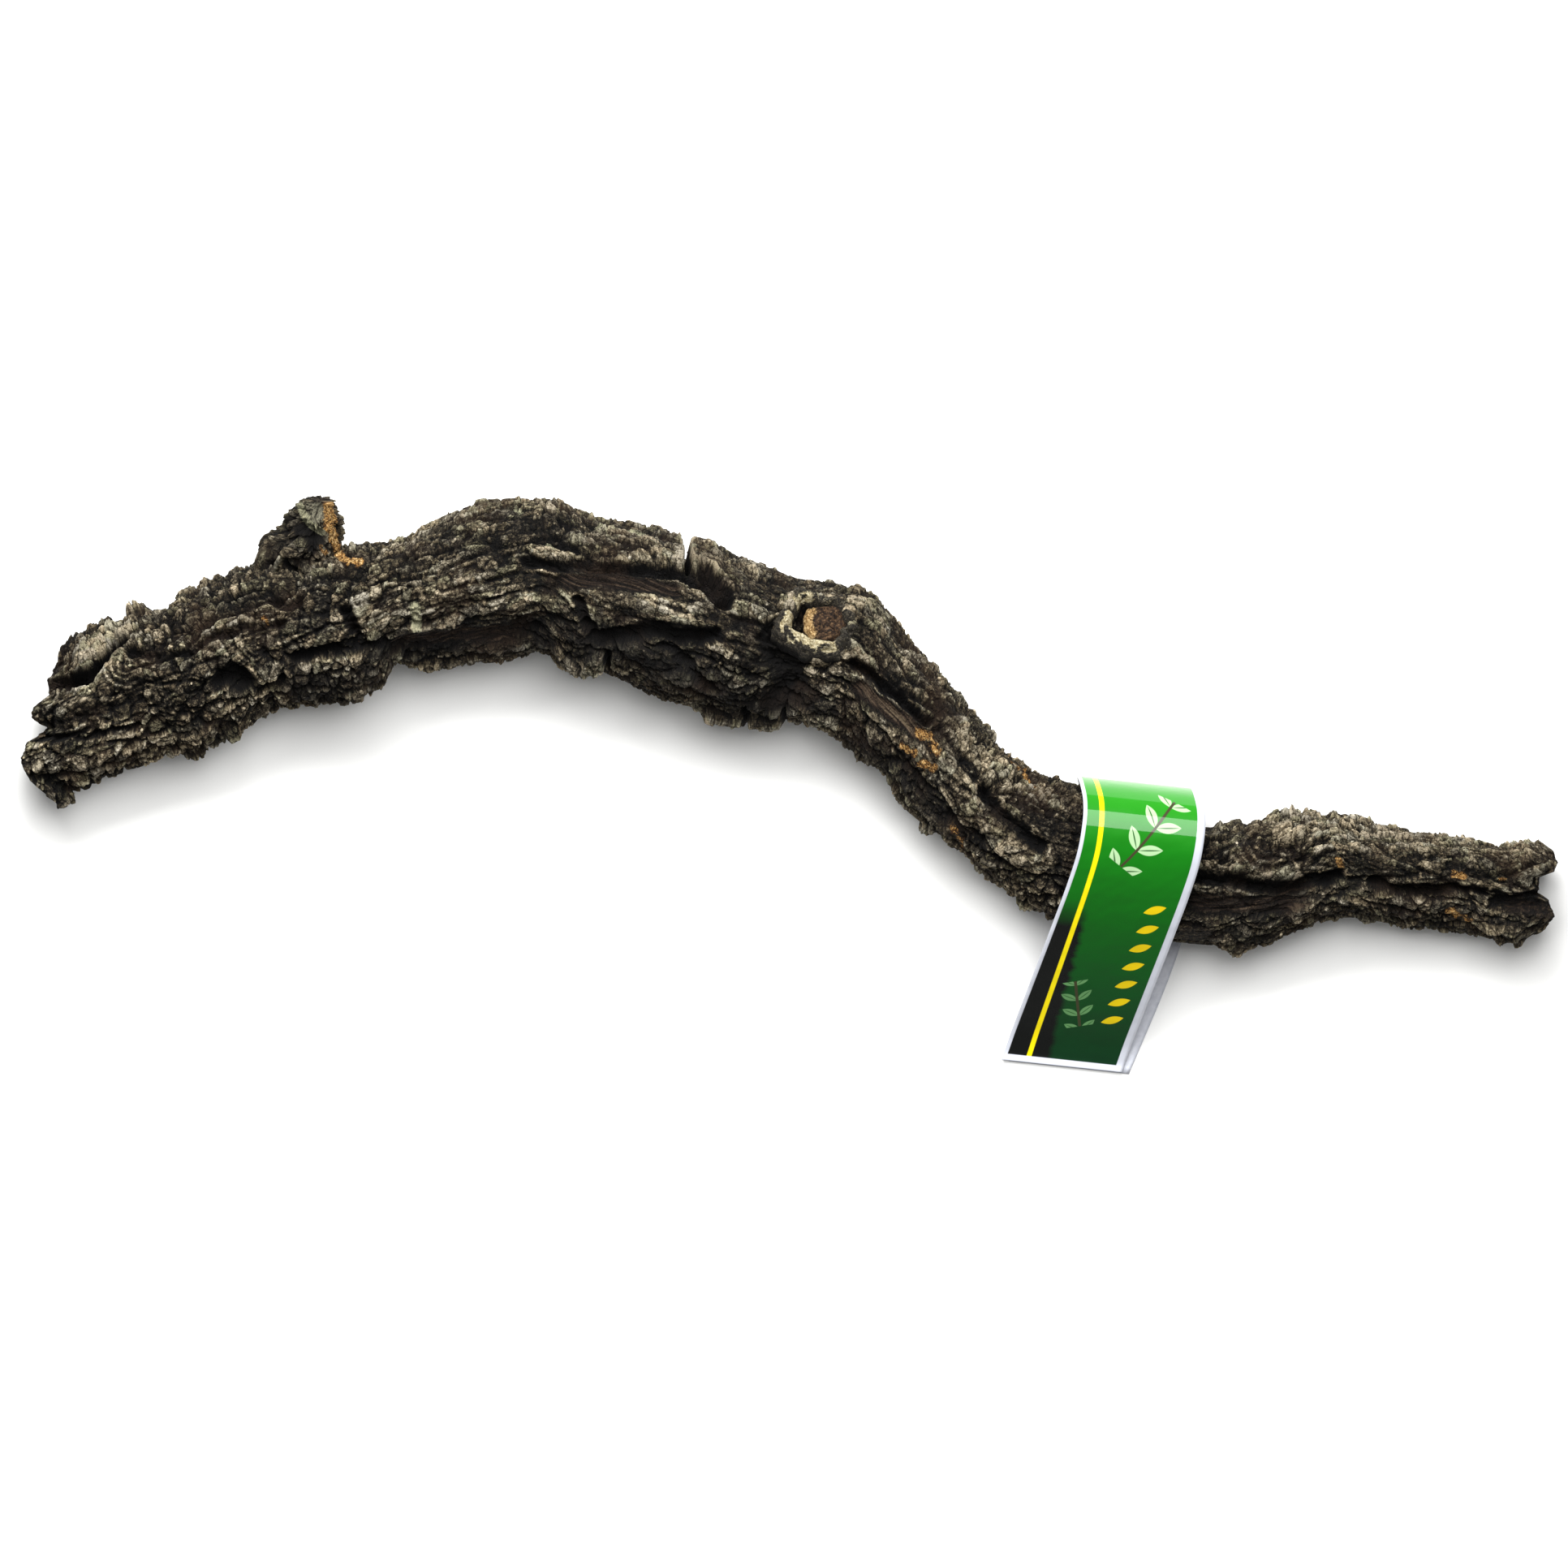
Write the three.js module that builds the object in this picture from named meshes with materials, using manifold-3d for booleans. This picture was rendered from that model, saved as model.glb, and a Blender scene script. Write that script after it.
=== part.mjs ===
// A dead branch of a cork oak, as sold to climb on or decorate with, lying on a flat surface, with a printed
// strip looped round its thin half. The length runs along X, the arch of the branch bows towards +Y, and +Z is up.
// Millimetres. The origin is the middle of the outline, on the surface that the branch lies on.

import * as THREE from "three";
import { mergeVertices } from "three/addons/utils/BufferGeometryUtils.js";
import Module from "manifold-3d";

// Driving dimensions
const BRANCH_LENGTH = 600;
const STRIP_WIDTH = 47.5;
const STRIP_THICKNESS = 0.6;
const RINGS = 122;
const TOP_SIDES = 24;
const BOTTOM_SIDES = 7;

// The outline is measured in pixels of the picture, x to the right and y down. The branch spans its length there.
const BRANCH_LEFT_PX = 22;
const BRANCH_RIGHT_PX = 1918;
const MIDDLE_PX = { x: 970, y: 969 };
const MM_PER_PX = BRANCH_LENGTH / (BRANCH_RIGHT_PX - BRANCH_LEFT_PX);

const toX = (px) => (px - MIDDLE_PX.x) * MM_PER_PX;
const toY = (py) => (MIDDLE_PX.y - py) * MM_PER_PX;

// Pairs of points across the branch from its thick end to its thin end: far edge x, y, then near edge x, y.
const EDGE_PAIRS_PX = [
  [64, 803, 78, 994],
  [90, 780, 118, 976],
  [122, 768, 160, 952],
  [156, 758, 198, 934],
  [186, 754, 238, 927],
  [212, 742, 266, 914],
  [246, 724, 302, 897],
  [280, 708, 335, 879],
  [318, 694, 368, 873],
  [358, 682, 402, 868],
  [402, 674, 440, 863],
  [445, 666, 470, 848],
  [490, 664, 493, 823],
  [532, 646, 536, 821],
  [582, 624, 586, 817],
  [640, 614, 640, 808],
  [668, 614, 664, 806],
  [692, 616, 686, 820],
  [718, 629, 706, 830],
  [748, 640, 730, 828],
  [792, 650, 764, 838],
  [840, 661, 810, 862],
  [886, 671, 858, 876],
  [936, 697, 905, 888],
  [985, 712, 950, 891],
  [1036, 719, 994, 892],
  [1085, 738, 1030, 904],
  [1120, 784, 1058, 930],
  [1150, 820, 1085, 952],
  [1182, 856, 1108, 986],
  [1216, 900, 1140, 1016],
  [1252, 936, 1180, 1052],
  [1292, 958, 1226, 1086],
  [1338, 966, 1282, 1122],
  [1386, 982, 1346, 1148],
  [1436, 1003, 1410, 1158],
  [1490, 1018, 1476, 1165],
  [1545, 1009, 1534, 1168],
  [1592, 1001, 1586, 1156],
  [1642, 998, 1646, 1131],
  [1692, 1015, 1694, 1130],
  [1742, 1020, 1742, 1143],
  [1800, 1026, 1800, 1147],
  [1846, 1032, 1846, 1161],
  [1878, 1033, 1876, 1163],
  [1900, 1036, 1898, 1152],
];

// The outline of the two broken ends, from the far edge to the near edge: y, then x
const END_REACH = 32;
const THICK_END_PX = [
  [798, 72],
  [815, 75],
  [838, 64],
  [856, 64],
  [872, 42],
  [884, 42],
  [897, 58],
  [913, 35],
  [940, 22],
  [962, 32],
  [990, 62],
];
const THIN_END_PX = [
  [1036, 1898],
  [1046, 1911],
  [1062, 1918],
  [1074, 1915],
  [1081, 1897],
  [1100, 1896],
  [1109, 1908],
  [1130, 1914],
  [1148, 1905],
  [1158, 1892],
];

// Height of the branch and how far its underside hangs clear of the surface: share of the way along the pairs,
// height, clearance. It rests at the thick end, under the bow and at the thin end.
const HEIGHTS = [
  [0.0, 30, 5],
  [0.05, 44, 0],
  [0.14, 52, -1],
  [0.24, 56, 2],
  [0.34, 56, -1],
  [0.48, 58, 0],
  [0.58, 44, 5],
  [0.68, 43, 4],
  [0.76, 42, 3.5],
  [0.86, 36, 1],
  [0.96, 36, -1],
  [1.0, 30, 2],
];

// Furrows, breaks and hollows of the bark, seen from above: width and depth in mm, then a path of points.
const FURROWS = [
  { width: 12, depth: 15, path: [[58, 838], [92, 828], [118, 814]] },
  { width: 6, depth: 9, path: [[112, 818], [140, 798], [160, 786]] },
  { width: 5, depth: 6, path: [[44, 898], [80, 911], [130, 905], [172, 898]] },
  { width: 6, depth: 4.5, path: [[165, 802], [200, 812], [238, 802], [275, 780], [312, 776], [350, 768]] },
  { width: 9, depth: 6, path: [[262, 862], [280, 836], [304, 848], [340, 846]] },
  { width: 6, depth: 5, path: [[340, 738], [356, 748], [372, 742]] },
  { width: 6, depth: 7, path: [[431, 752], [440, 775], [446, 794]] },
  { width: 7, depth: 6, path: [[372, 814], [420, 803], [462, 800], [492, 797]] },
  { width: 16, depth: 5, path: [[492, 806], [540, 796], [600, 792], [655, 790]] },
  { width: 7, depth: 6, path: [[652, 692], [692, 698], [732, 699], [772, 703], [806, 703], [845, 704]] },
  { width: 11, depth: 4, path: [[700, 716], [760, 718], [830, 722]] },
  { width: 12, depth: 13, path: [[850, 714], [870, 724], [886, 736]] },
  { width: 4, depth: 13, path: [[845, 648], [847, 676], [850, 704]] },
  { width: 6, depth: 7, path: [[712, 744], [722, 764], [730, 782]] },
  { width: 9, depth: 7, path: [[738, 792], [776, 786], [806, 778], [836, 786], [880, 784]] },
  { width: 7, depth: 4, path: [[822, 798], [846, 822], [872, 850]] },
  { width: 18, depth: 6, path: [[958, 796], [972, 832], [962, 868]] },
  { width: 5, depth: 5, path: [[974, 753], [952, 768], [934, 790]] },
  { width: 6, depth: 9, path: [[1052, 820], [1078, 836], [1104, 854], [1124, 872], [1142, 888]] },
  { width: 12, depth: 4, path: [[1060, 850], [1096, 878], [1128, 900]] },
  { width: 8, depth: 6, path: [[1214, 976], [1238, 1008], [1262, 1030], [1280, 1044]] },
  { width: 5, depth: 4, path: [[1254, 952], [1276, 976], [1290, 1002]] },
  { width: 14, depth: 4, path: [[1112, 946], [1136, 980], [1156, 1006]] },
  { width: 11, depth: 9, path: [[1452, 1076], [1510, 1084], [1556, 1096], [1592, 1096], [1618, 1086], [1644, 1080]] },
  { width: 14, depth: 3.5, path: [[1470, 1114], [1530, 1120], [1580, 1116]] },
  { width: 9, depth: 9, path: [[1690, 1088], [1722, 1101], [1762, 1096], [1820, 1096], [1862, 1104], [1906, 1104]] },
  { width: 10, depth: 6, path: [[1846, 1112], [1884, 1118]] },
];

// Ridges, lips and lumps of the bark that stand proud, in the same form.
const RIDGES = [
  { width: 13, depth: 3, path: [[84, 796], [120, 784], [156, 772]] },
  { width: 7, depth: 3.5, path: [[160, 752], [172, 752]] },
  { width: 16, depth: 3, path: [[56, 872], [100, 862], [150, 832], [190, 826]] },
  { width: 14, depth: 2.5, path: [[50, 944], [110, 932], [170, 916]] },
  { width: 14, depth: 3, path: [[470, 704], [540, 672], [610, 652], [670, 648]] },
  { width: 18, depth: 3, path: [[460, 760], [520, 738], [590, 730], [640, 742]] },
  { width: 14, depth: 3.5, path: [[720, 668], [780, 680], [832, 682]] },
  { width: 11, depth: 3.5, path: [[740, 736], [800, 744], [850, 760]] },
  { width: 11, depth: 3.5, path: [[690, 806], [720, 818], [744, 812]] },
  { width: 20, depth: 3, path: [[868, 684], [920, 740], [900, 800]] },
  { width: 14, depth: 4, path: [[1060, 752], [1100, 800], [1140, 850], [1180, 892]] },
  { width: 10, depth: 2.5, path: [[1180, 960], [1204, 1012], [1250, 1056]] },
  { width: 12, depth: 3, path: [[1500, 1040], [1550, 1068], [1586, 1070]] },
  { width: 16, depth: 3, path: [[1600, 1030], [1680, 1050], [1780, 1058], [1880, 1060]] },
  { width: 10, depth: 3, path: [[1600, 1130], [1640, 1112], [1672, 1108], [1700, 1118]] },
  { width: 10, depth: 3, path: [[1836, 1148], [1866, 1152]] },
];

// The stump of a side shoot that broke off above the thick half, from its foot to its tip: the middle's x and y in
// the picture and its height, then half the width along the branch and half the width towards the top.
const STUMP = [
  [384, 772, 27, 18, 16],
  [378, 728, 30, 20.5, 18],
  [374, 694, 35, 17.5, 16.5],
  [382, 668, 38, 14.5, 14],
  [391, 645, 42, 11, 11],
  [398, 626, 45, 7.5, 9],
  [399, 618, 46, 5.5, 7],
];
const STUMP_SIDES = 14;
const STUMP_STEPS = 11;

// The knot where a side branch was sawn off: a callus ring round a wooden core that has shrunk from one side.
const KNOT = {
  centre_px: { x: 1010, y: 766 },
  ringRadius: 11.5,
  ringThickness: 3,
  holeRadius: 9.2,
  coreRadius: 7.6,
  coreShift: 1.4,
  holeDepth: 8,
};

// Lumps of the bark all round
const LUMP = { height: 3.4, along: 17, across: 9 };

// A value from 0 to 1 that looks random, for each corner of a cubic grid
function cornerValue(i, j, k) {
  let h = Math.imul(i, 374761393) + Math.imul(j, 668265263) + Math.imul(k, 974711);
  h = Math.imul(h ^ (h >>> 13), 1274126177);
  return ((h ^ (h >>> 16)) >>> 0) / 2 ** 32;
}

// The corner values, blended smoothly in between
function smoothNoise(x, y, z) {
  const [i, j, k] = [Math.floor(x), Math.floor(y), Math.floor(z)];
  const [u, v, w] = [x - i, y - j, z - k].map((t) => t * t * (3 - 2 * t));
  let sum = 0;
  for (const [a, b, c] of [[0, 0, 0], [1, 0, 0], [0, 1, 0], [1, 1, 0], [0, 0, 1], [1, 0, 1], [0, 1, 1], [1, 1, 1]]) {
    const weight = (a ? u : 1 - u) * (b ? v : 1 - v) * (c ? w : 1 - w);
    sum += weight * cornerValue(i + a, j + b, k + c);
  }
  return sum;
}

// One row of a table whose first column is a share from 0 to 1, read smoothly between its rows
function readTable(table, share) {
  const next = table.findIndex((row) => row[0] >= share);
  if (next <= 0) return table[next === 0 ? 0 : table.length - 1].slice(1);
  const [low, high] = [table[next - 1], table[next]];
  const t = THREE.MathUtils.smoothstep(share, low[0], high[0]);
  return low.slice(1).map((value, column) => value + (high[column + 1] - value) * t);
}

const edgeCurve = (x, y) =>
  new THREE.CatmullRomCurve3(
    EDGE_PAIRS_PX.map((pair) => new THREE.Vector3(toX(pair[x]), toY(pair[y]), 0)),
    false,
    "catmullrom",
    0.5,
  );
const farEdge = edgeCurve(0, 1);
const nearEdge = edgeCurve(2, 3);

// The section of the branch at a share of the way along the pairs: an ellipse between its two edges
function sectionAt(share) {
  const far = farEdge.getPoint(share);
  const near = nearEdge.getPoint(share);
  const [height, clearance] = readTable(HEIGHTS, share);
  const middle = far.clone().add(near).multiplyScalar(0.5).setZ(clearance + height / 2);
  return { middle, across: far.clone().sub(near).multiplyScalar(0.5), halfHeight: height / 2 };
}

// A point of the plain section and the way out of the bark there. Angle 0 is the far edge and a right angle the top.
function skinPoint(section, angle) {
  const { middle, across, halfHeight } = section;
  const point = middle.clone().addScaledVector(across, Math.cos(angle));
  point.z += halfHeight * Math.sin(angle);
  const out = across.clone().multiplyScalar(Math.cos(angle) / across.lengthSq());
  out.z = Math.sin(angle) / halfHeight;
  return { point, out: out.normalize() };
}

// The share of the way along the pairs whose section passes over a point of the picture
function shareAt(x, y) {
  const STEPS = 400;
  let best = { share: 0, distance: Infinity };
  for (let i = 0; i <= STEPS; i++) {
    const { middle } = sectionAt(i / STEPS);
    const distance = Math.hypot(middle.x - x, middle.y - y);
    if (distance < best.distance) best = { share: i / STEPS, distance };
  }
  return best.share;
}

// A point of the picture lifted onto the upper side of the plain section
function liftedPoint([px, py]) {
  const [x, y] = [toX(px), toY(py)];
  const { middle, across, halfHeight } = sectionAt(shareAt(x, y));
  const offset = ((x - middle.x) * across.x + (y - middle.y) * across.y) / across.lengthSq();
  const rise = halfHeight * Math.sqrt(Math.max(0, 1 - offset * offset));
  return new THREE.Vector3(x, y, middle.z + rise);
}

const liftedStroke = ({ width, depth, path }) => ({ width, depth, points: path.map(liftedPoint) });
const furrows = FURROWS.map(liftedStroke);
const ridges = RIDGES.map(liftedStroke);

function distanceToPath(point, points) {
  const nearest = new THREE.Vector3();
  const pieces = points.slice(1).map((end, i) => new THREE.Line3(points[i], end));
  return Math.min(...pieces.map((piece) => piece.closestPointToPoint(point, true, nearest).distanceTo(point)));
}

// How far a set of strokes reaches at a point: each is deepest on its path and fades over half its width
function strokeReach(strokes, point) {
  const reaches = strokes.map(({ width, depth, points }) => {
    const fade = distanceToPath(point, points) / (width / 2);
    return depth * (1 - THREE.MathUtils.smoothstep(fade, 0.25, 1.15));
  });
  return Math.max(0, ...reaches);
}

// How far the bark stands out of the plain section at one of its points
function barkRelief(point, along, middle) {
  const [u, v] = [point.y - middle.y, point.z - middle.z];
  const lumps = smoothNoise(along / LUMP.along, u / LUMP.across + 20, v / LUMP.across + 40) - 0.5;
  const small = smoothNoise(along / 7 + 60, u / 6, v / 6) - 0.5;
  return LUMP.height * lumps + 1.5 * small + strokeReach(ridges, point) - strokeReach(furrows, point);
}

// Angles round a section, closer together on the upper side, where the bark is seen, than below
const SIDE_ANGLES = [
  ...Array.from({ length: TOP_SIDES }, (_, i) => -0.35 + (i / TOP_SIDES) * (Math.PI + 0.7)),
  ...Array.from({ length: BOTTOM_SIDES }, (_, i) => Math.PI + 0.35 + (i / BOTTOM_SIDES) * (Math.PI - 0.7)),
];

// How far an end of the branch stands out beyond its last section, at a height y of the picture
function endShift(outline, y, plainX) {
  const py = MIDDLE_PX.y - y / MM_PER_PX;
  const next = outline.findIndex(([rowY]) => rowY >= py);
  if (next === 0) return toX(outline[0][1]) - plainX;
  if (next < 0) return toX(outline[outline.length - 1][1]) - plainX;
  const [[y0, x0], [y1, x1]] = [outline[next - 1], outline[next]];
  return toX(x0 + ((py - y0) / (y1 - y0)) * (x1 - x0)) - plainX;
}

// Shares of the way along the pairs at which rings lie evenly spaced
function evenShares(count) {
  const STEPS = 600;
  const lengths = [0];
  for (let i = 1; i <= STEPS; i++) {
    const step = sectionAt(i / STEPS).middle.distanceTo(sectionAt((i - 1) / STEPS).middle);
    lengths.push(lengths[i - 1] + step);
  }
  const whole = lengths[STEPS];
  return Array.from({ length: count }, (_, ring) => {
    const wanted = (ring / (count - 1)) * whole;
    const i = Math.max(1, lengths.findIndex((length) => length >= wanted - 1e-9));
    const t = (wanted - lengths[i - 1]) / (lengths[i] - lengths[i - 1]);
    return { share: (i - 1 + t) / STEPS, along: wanted };
  });
}

// Joins rings of points into a closed skin, with a point in the middle of each end
function skinGeometry(rings, firstMiddle, lastMiddle) {
  const sides = rings[0].length;
  const points = [...rings.flat(), firstMiddle, lastMiddle];
  const [first, last] = [rings.length * sides, rings.length * sides + 1];
  const faces = [];
  for (let side = 0; side < sides; side++) {
    const next = (side + 1) % sides;
    faces.push(first, next, side);
    for (let ring = 0; ring < rings.length - 1; ring++) {
      const [a, b] = [ring * sides + side, ring * sides + next];
      faces.push(a, b, a + sides, b, b + sides, a + sides);
    }
    const end = (rings.length - 1) * sides;
    faces.push(last, end + side, end + next);
  }
  return new THREE.BufferGeometry().setFromPoints(points).setIndex(faces);
}

// The branch with its furrows and ridges. Each end is broken off along its own outline, with the wood in its middle.
function branchGeometry() {
  const shares = evenShares(RINGS);
  const whole = shares[RINGS - 1].along;
  const ringAt = ({ share, along }, shrink = 1, recess = 0) => {
    const section = sectionAt(share);
    return SIDE_ANGLES.map((angle) => {
      const { point, out } = skinPoint(section, angle);
      point.addScaledVector(out, barkRelief(point, along, section.middle));
      const placed = section.middle.clone().lerp(point, shrink);
      const thickEnd = 1 - THREE.MathUtils.smoothstep(along, 0, END_REACH);
      const thinEnd = THREE.MathUtils.smoothstep(along, whole - END_REACH / 2, whole);
      placed.x += thickEnd * (endShift(THICK_END_PX, placed.y, toX(70)) + recess);
      placed.x += thinEnd * (endShift(THIN_END_PX, placed.y, toX(1899)) - recess);
      return placed.setZ(Math.max(0, placed.z));
    });
  };
  const [start, stop] = [shares[0], shares[RINGS - 1]];
  const rings = shares.map((at) => ringAt(at));
  for (const [shrink, recess] of [[0.9, -0.6], [0.74, 1.5], [0.62, -0.5]]) {
    rings.unshift(ringAt(start, shrink, recess));
    rings.push(ringAt(stop, shrink, recess));
  }
  const middleOf = (ring) =>
    ring.reduce((sum, p) => sum.add(p), new THREE.Vector3()).divideScalar(ring.length);
  return skinGeometry(rings, middleOf(rings[0]), middleOf(rings[rings.length - 1]));
}

// The stump of the side shoot: a lumpy cone whose rings stand square to its own middle line
function stumpGeometry() {
  const middles = STUMP.map(([px, py, z]) => new THREE.Vector3(toX(px), toY(py), z));
  const line = new THREE.CatmullRomCurve3(middles, false, "catmullrom", 0.5);
  const sizes = STUMP.map(([, , , wide, deep]) => new THREE.Vector3(wide, deep, 0));
  const sizeLine = new THREE.CatmullRomCurve3(sizes, false, "catmullrom", 0.5);
  const rings = Array.from({ length: STUMP_STEPS + 1 }, (_, i) => {
    const middle = line.getPoint(i / STUMP_STEPS);
    const along = line.getTangent(i / STUMP_STEPS);
    const size = sizeLine.getPoint(i / STUMP_STEPS);
    const wideWay = new THREE.Vector3(1, 0, 0).addScaledVector(along, -along.x).normalize();
    const deepWay = along.clone().cross(wideWay).normalize();
    return Array.from({ length: STUMP_SIDES }, (_, side) => {
      const angle = (side / STUMP_SIDES) * 2 * Math.PI;
      const lump = 1 + 0.22 * (smoothNoise(i / 5, Math.cos(angle) * 2 + 9, Math.sin(angle) * 2 + 9) - 0.5);
      return middle
        .clone()
        .addScaledVector(wideWay, size.x * lump * Math.cos(angle))
        .addScaledVector(deepWay, size.y * lump * Math.sin(angle));
    });
  });
  return skinGeometry(rings, middles[0], middles[middles.length - 1]);
}

const wasm = await Module();
wasm.setup();

function solidOf(geometry) {
  const bare = geometry.index ? geometry.toNonIndexed() : geometry.clone();
  bare.deleteAttribute("normal");
  bare.deleteAttribute("uv");
  const merged = mergeVertices(bare, 1e-4);
  const solid = new wasm.Manifold(
    new wasm.Mesh({
      numProp: 3,
      vertProperties: merged.attributes.position.array,
      triVerts: new Uint32Array(merged.index.array),
    }),
  );
  return solid;
}

function geometryOf(solid) {
  const mesh = solid.getMesh();
  const geometry = new THREE.BufferGeometry();
  geometry.setAttribute("position", new THREE.BufferAttribute(new Float32Array(mesh.vertProperties), 3));
  geometry.setIndex(new THREE.BufferAttribute(new Uint32Array(mesh.triVerts), 1));
  return geometry;
}

// The knot's ring, hole and core, made round +Y of a lathe and then turned to face out of the bark
function withKnot(branch) {
  const seat = liftedPoint([KNOT.centre_px.x, KNOT.centre_px.y]);
  const section = sectionAt(shareAt(seat.x, seat.y));
  const facing = seat.clone().sub(section.middle).normalize();
  const turn = new THREE.Quaternion().setFromUnitVectors(new THREE.Vector3(0, 1, 0), facing);
  const place = new THREE.Matrix4().compose(seat, turn, new THREE.Vector3(1, 1, 1));
  const ringProfile = Array.from({ length: 9 }, (_, i) => {
    const angle = (i / 8) * 2 * Math.PI;
    return new THREE.Vector2(
      KNOT.ringRadius + KNOT.ringThickness * Math.cos(angle),
      0.6 + KNOT.ringThickness * Math.sin(angle),
    );
  });
  const ring = new THREE.LatheGeometry(ringProfile, 20).applyMatrix4(place);
  const hole = new THREE.CylinderGeometry(KNOT.holeRadius, KNOT.holeRadius * 0.9, KNOT.holeDepth * 2, 20);
  const core = new THREE.CylinderGeometry(KNOT.coreRadius, KNOT.coreRadius * 1.1, KNOT.holeDepth * 2, 16);
  core.translate(KNOT.coreShift, -KNOT.holeDepth - 2, 0);
  const pit = solidOf(hole.applyMatrix4(place)).subtract(solidOf(core.applyMatrix4(place)));
  return branch.add(solidOf(ring)).subtract(pit);
}

// The strip's left edge, from its tail over the top of the branch, round it and back along the surface:
// x and y in the picture, then the height.
const STRIP_EDGE = [
  [1236, 1308, 1.5],
  [1241, 1294, 1.6],
  [1249, 1270, 5],
  [1262, 1233, 14],
  [1279, 1185, 26],
  [1297, 1134, 38],
  [1313, 1088, 47],
  [1325, 1048, 52.5],
  [1331, 1012, 54],
  [1332, 986, 51],
  [1329, 966, 43],
  [1327, 957, 30],
  [1329, 961, 17],
  [1334, 977, 7],
  [1338, 1004, 1.6],
  [1338, 1040, 0.3],
  [1325, 1100, 0.3],
  [1293, 1196, 0.3],
  [1245, 1310, 0.3],
];
const STRIP_ACROSS_PX = { x: 150, y: 16 };
const STRIP_STEPS = 46;
const GLUE_LENGTH = 5;
const STRIP_CLEARANCE = 0.35;

// The printed strip: one band of laminated card, bent round the branch, whose two tails are glued together
function stripGeometry(thickness) {
  const curve = new THREE.CatmullRomCurve3(
    STRIP_EDGE.map(([px, py, z]) => new THREE.Vector3(toX(px), toY(py), z)),
    false,
    "catmullrom",
    0.5,
  );
  const across = new THREE.Vector3(STRIP_ACROSS_PX.x, -STRIP_ACROSS_PX.y, 0).setLength(STRIP_WIDTH);
  const half = thickness / 2;
  const rings = Array.from({ length: STRIP_STEPS + 1 }, (_, i) => {
    const at = curve.getPoint(i / STRIP_STEPS);
    const normal = across.clone().cross(curve.getTangent(i / STRIP_STEPS)).normalize();
    const corner = (side, depth) => {
      const point = at.clone().addScaledVector(across, side).addScaledVector(normal, depth * half);
      return point.setZ(Math.max(0, point.z));
    };
    return [corner(0, -1), corner(0, 1), corner(1, 1), corner(1, -1)];
  });
  const middleOf = (ring) => ring.reduce((sum, p) => sum.add(p), new THREE.Vector3()).divideScalar(4);
  return skinGeometry(rings, middleOf(rings[0]), middleOf(rings[STRIP_STEPS]));
}

function glueGeometry() {
  const [px, py] = STRIP_EDGE[0];
  const glue = new THREE.BoxGeometry(STRIP_WIDTH - 6, GLUE_LENGTH, 1);
  const across = new THREE.Vector3(STRIP_ACROSS_PX.x, -STRIP_ACROSS_PX.y, 0).setLength(STRIP_WIDTH);
  glue.rotateZ(Math.atan2(across.y, across.x));
  return glue.translate(
    toX(px) + across.x / 2 + 1,
    toY(py) + across.y / 2 + GLUE_LENGTH / 2 + 1,
    1.05,
  );
}

function named(name, solid, material) {
  const mesh = new THREE.Mesh(geometryOf(solid), material);
  mesh.name = name;
  return mesh;
}

const corkBark = new THREE.MeshStandardMaterial({ color: 0x5a5148, roughness: 0.95, metalness: 0 });
const laminatedCard = new THREE.MeshStandardMaterial({ color: 0x1d8a2b, roughness: 0.25, metalness: 0 });

const roomForStrip = solidOf(stripGeometry(STRIP_THICKNESS + 2 * STRIP_CLEARANCE));
const branch = withKnot(solidOf(branchGeometry()).add(solidOf(stumpGeometry()))).subtract(roomForStrip);
const strip = solidOf(stripGeometry(STRIP_THICKNESS)).add(solidOf(glueGeometry()));
const meshes = [named("branch", branch, corkBark), named("label_strip", strip, laminatedCard)];

// The origin is brought to the middle of the whole outline
const bounds = new THREE.Box3();
meshes.forEach((mesh) => bounds.expandByObject(mesh));
const middle = bounds.getCenter(new THREE.Vector3()).setZ(bounds.min.z);
meshes.forEach((mesh) => mesh.geometry.translate(-middle.x, -middle.y, -middle.z));

const root = new THREE.Group();
root.add(...meshes);

export default root;
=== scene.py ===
import bpy
import math
import numpy as np
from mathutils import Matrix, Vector


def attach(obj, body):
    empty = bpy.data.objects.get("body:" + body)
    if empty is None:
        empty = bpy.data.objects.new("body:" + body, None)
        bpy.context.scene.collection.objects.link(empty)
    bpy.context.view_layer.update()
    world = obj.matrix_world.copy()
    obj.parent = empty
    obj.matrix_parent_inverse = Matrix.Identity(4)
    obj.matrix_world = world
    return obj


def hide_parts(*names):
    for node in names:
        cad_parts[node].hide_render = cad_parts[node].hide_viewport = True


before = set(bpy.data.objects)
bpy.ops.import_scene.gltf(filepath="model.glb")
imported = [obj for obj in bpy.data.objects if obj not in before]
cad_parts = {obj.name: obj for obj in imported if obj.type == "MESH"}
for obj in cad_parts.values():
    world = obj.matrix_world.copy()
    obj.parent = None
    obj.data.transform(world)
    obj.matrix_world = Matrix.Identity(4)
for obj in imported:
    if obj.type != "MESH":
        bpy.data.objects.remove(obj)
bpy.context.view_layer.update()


# Camera
# It looks straight down on the branch, which lies on its side. The long lens keeps the branch's plan true.
# Places read off the photograph are pixels of its 1932 by 1932 frame, x to the right and y down.
PHOTO_SIDE_PX = 1932
# The part's origin, and the x at which the branch begins and ends
ORIGIN_PX = (972.2, 967.9)
BRANCH_START_PX = 22
BRANCH_END_PX = 1918
BRANCH_LENGTH_MM = 600
MM_PER_PX = BRANCH_LENGTH_MM / (BRANCH_END_PX - BRANCH_START_PX)
# The scale of the photograph holds at the height of the branch's outline
OUTLINE_HEIGHT_MM = 27
LENS_MM = 200
SENSOR_MM = 36
CLIP_END_M = 20


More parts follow.
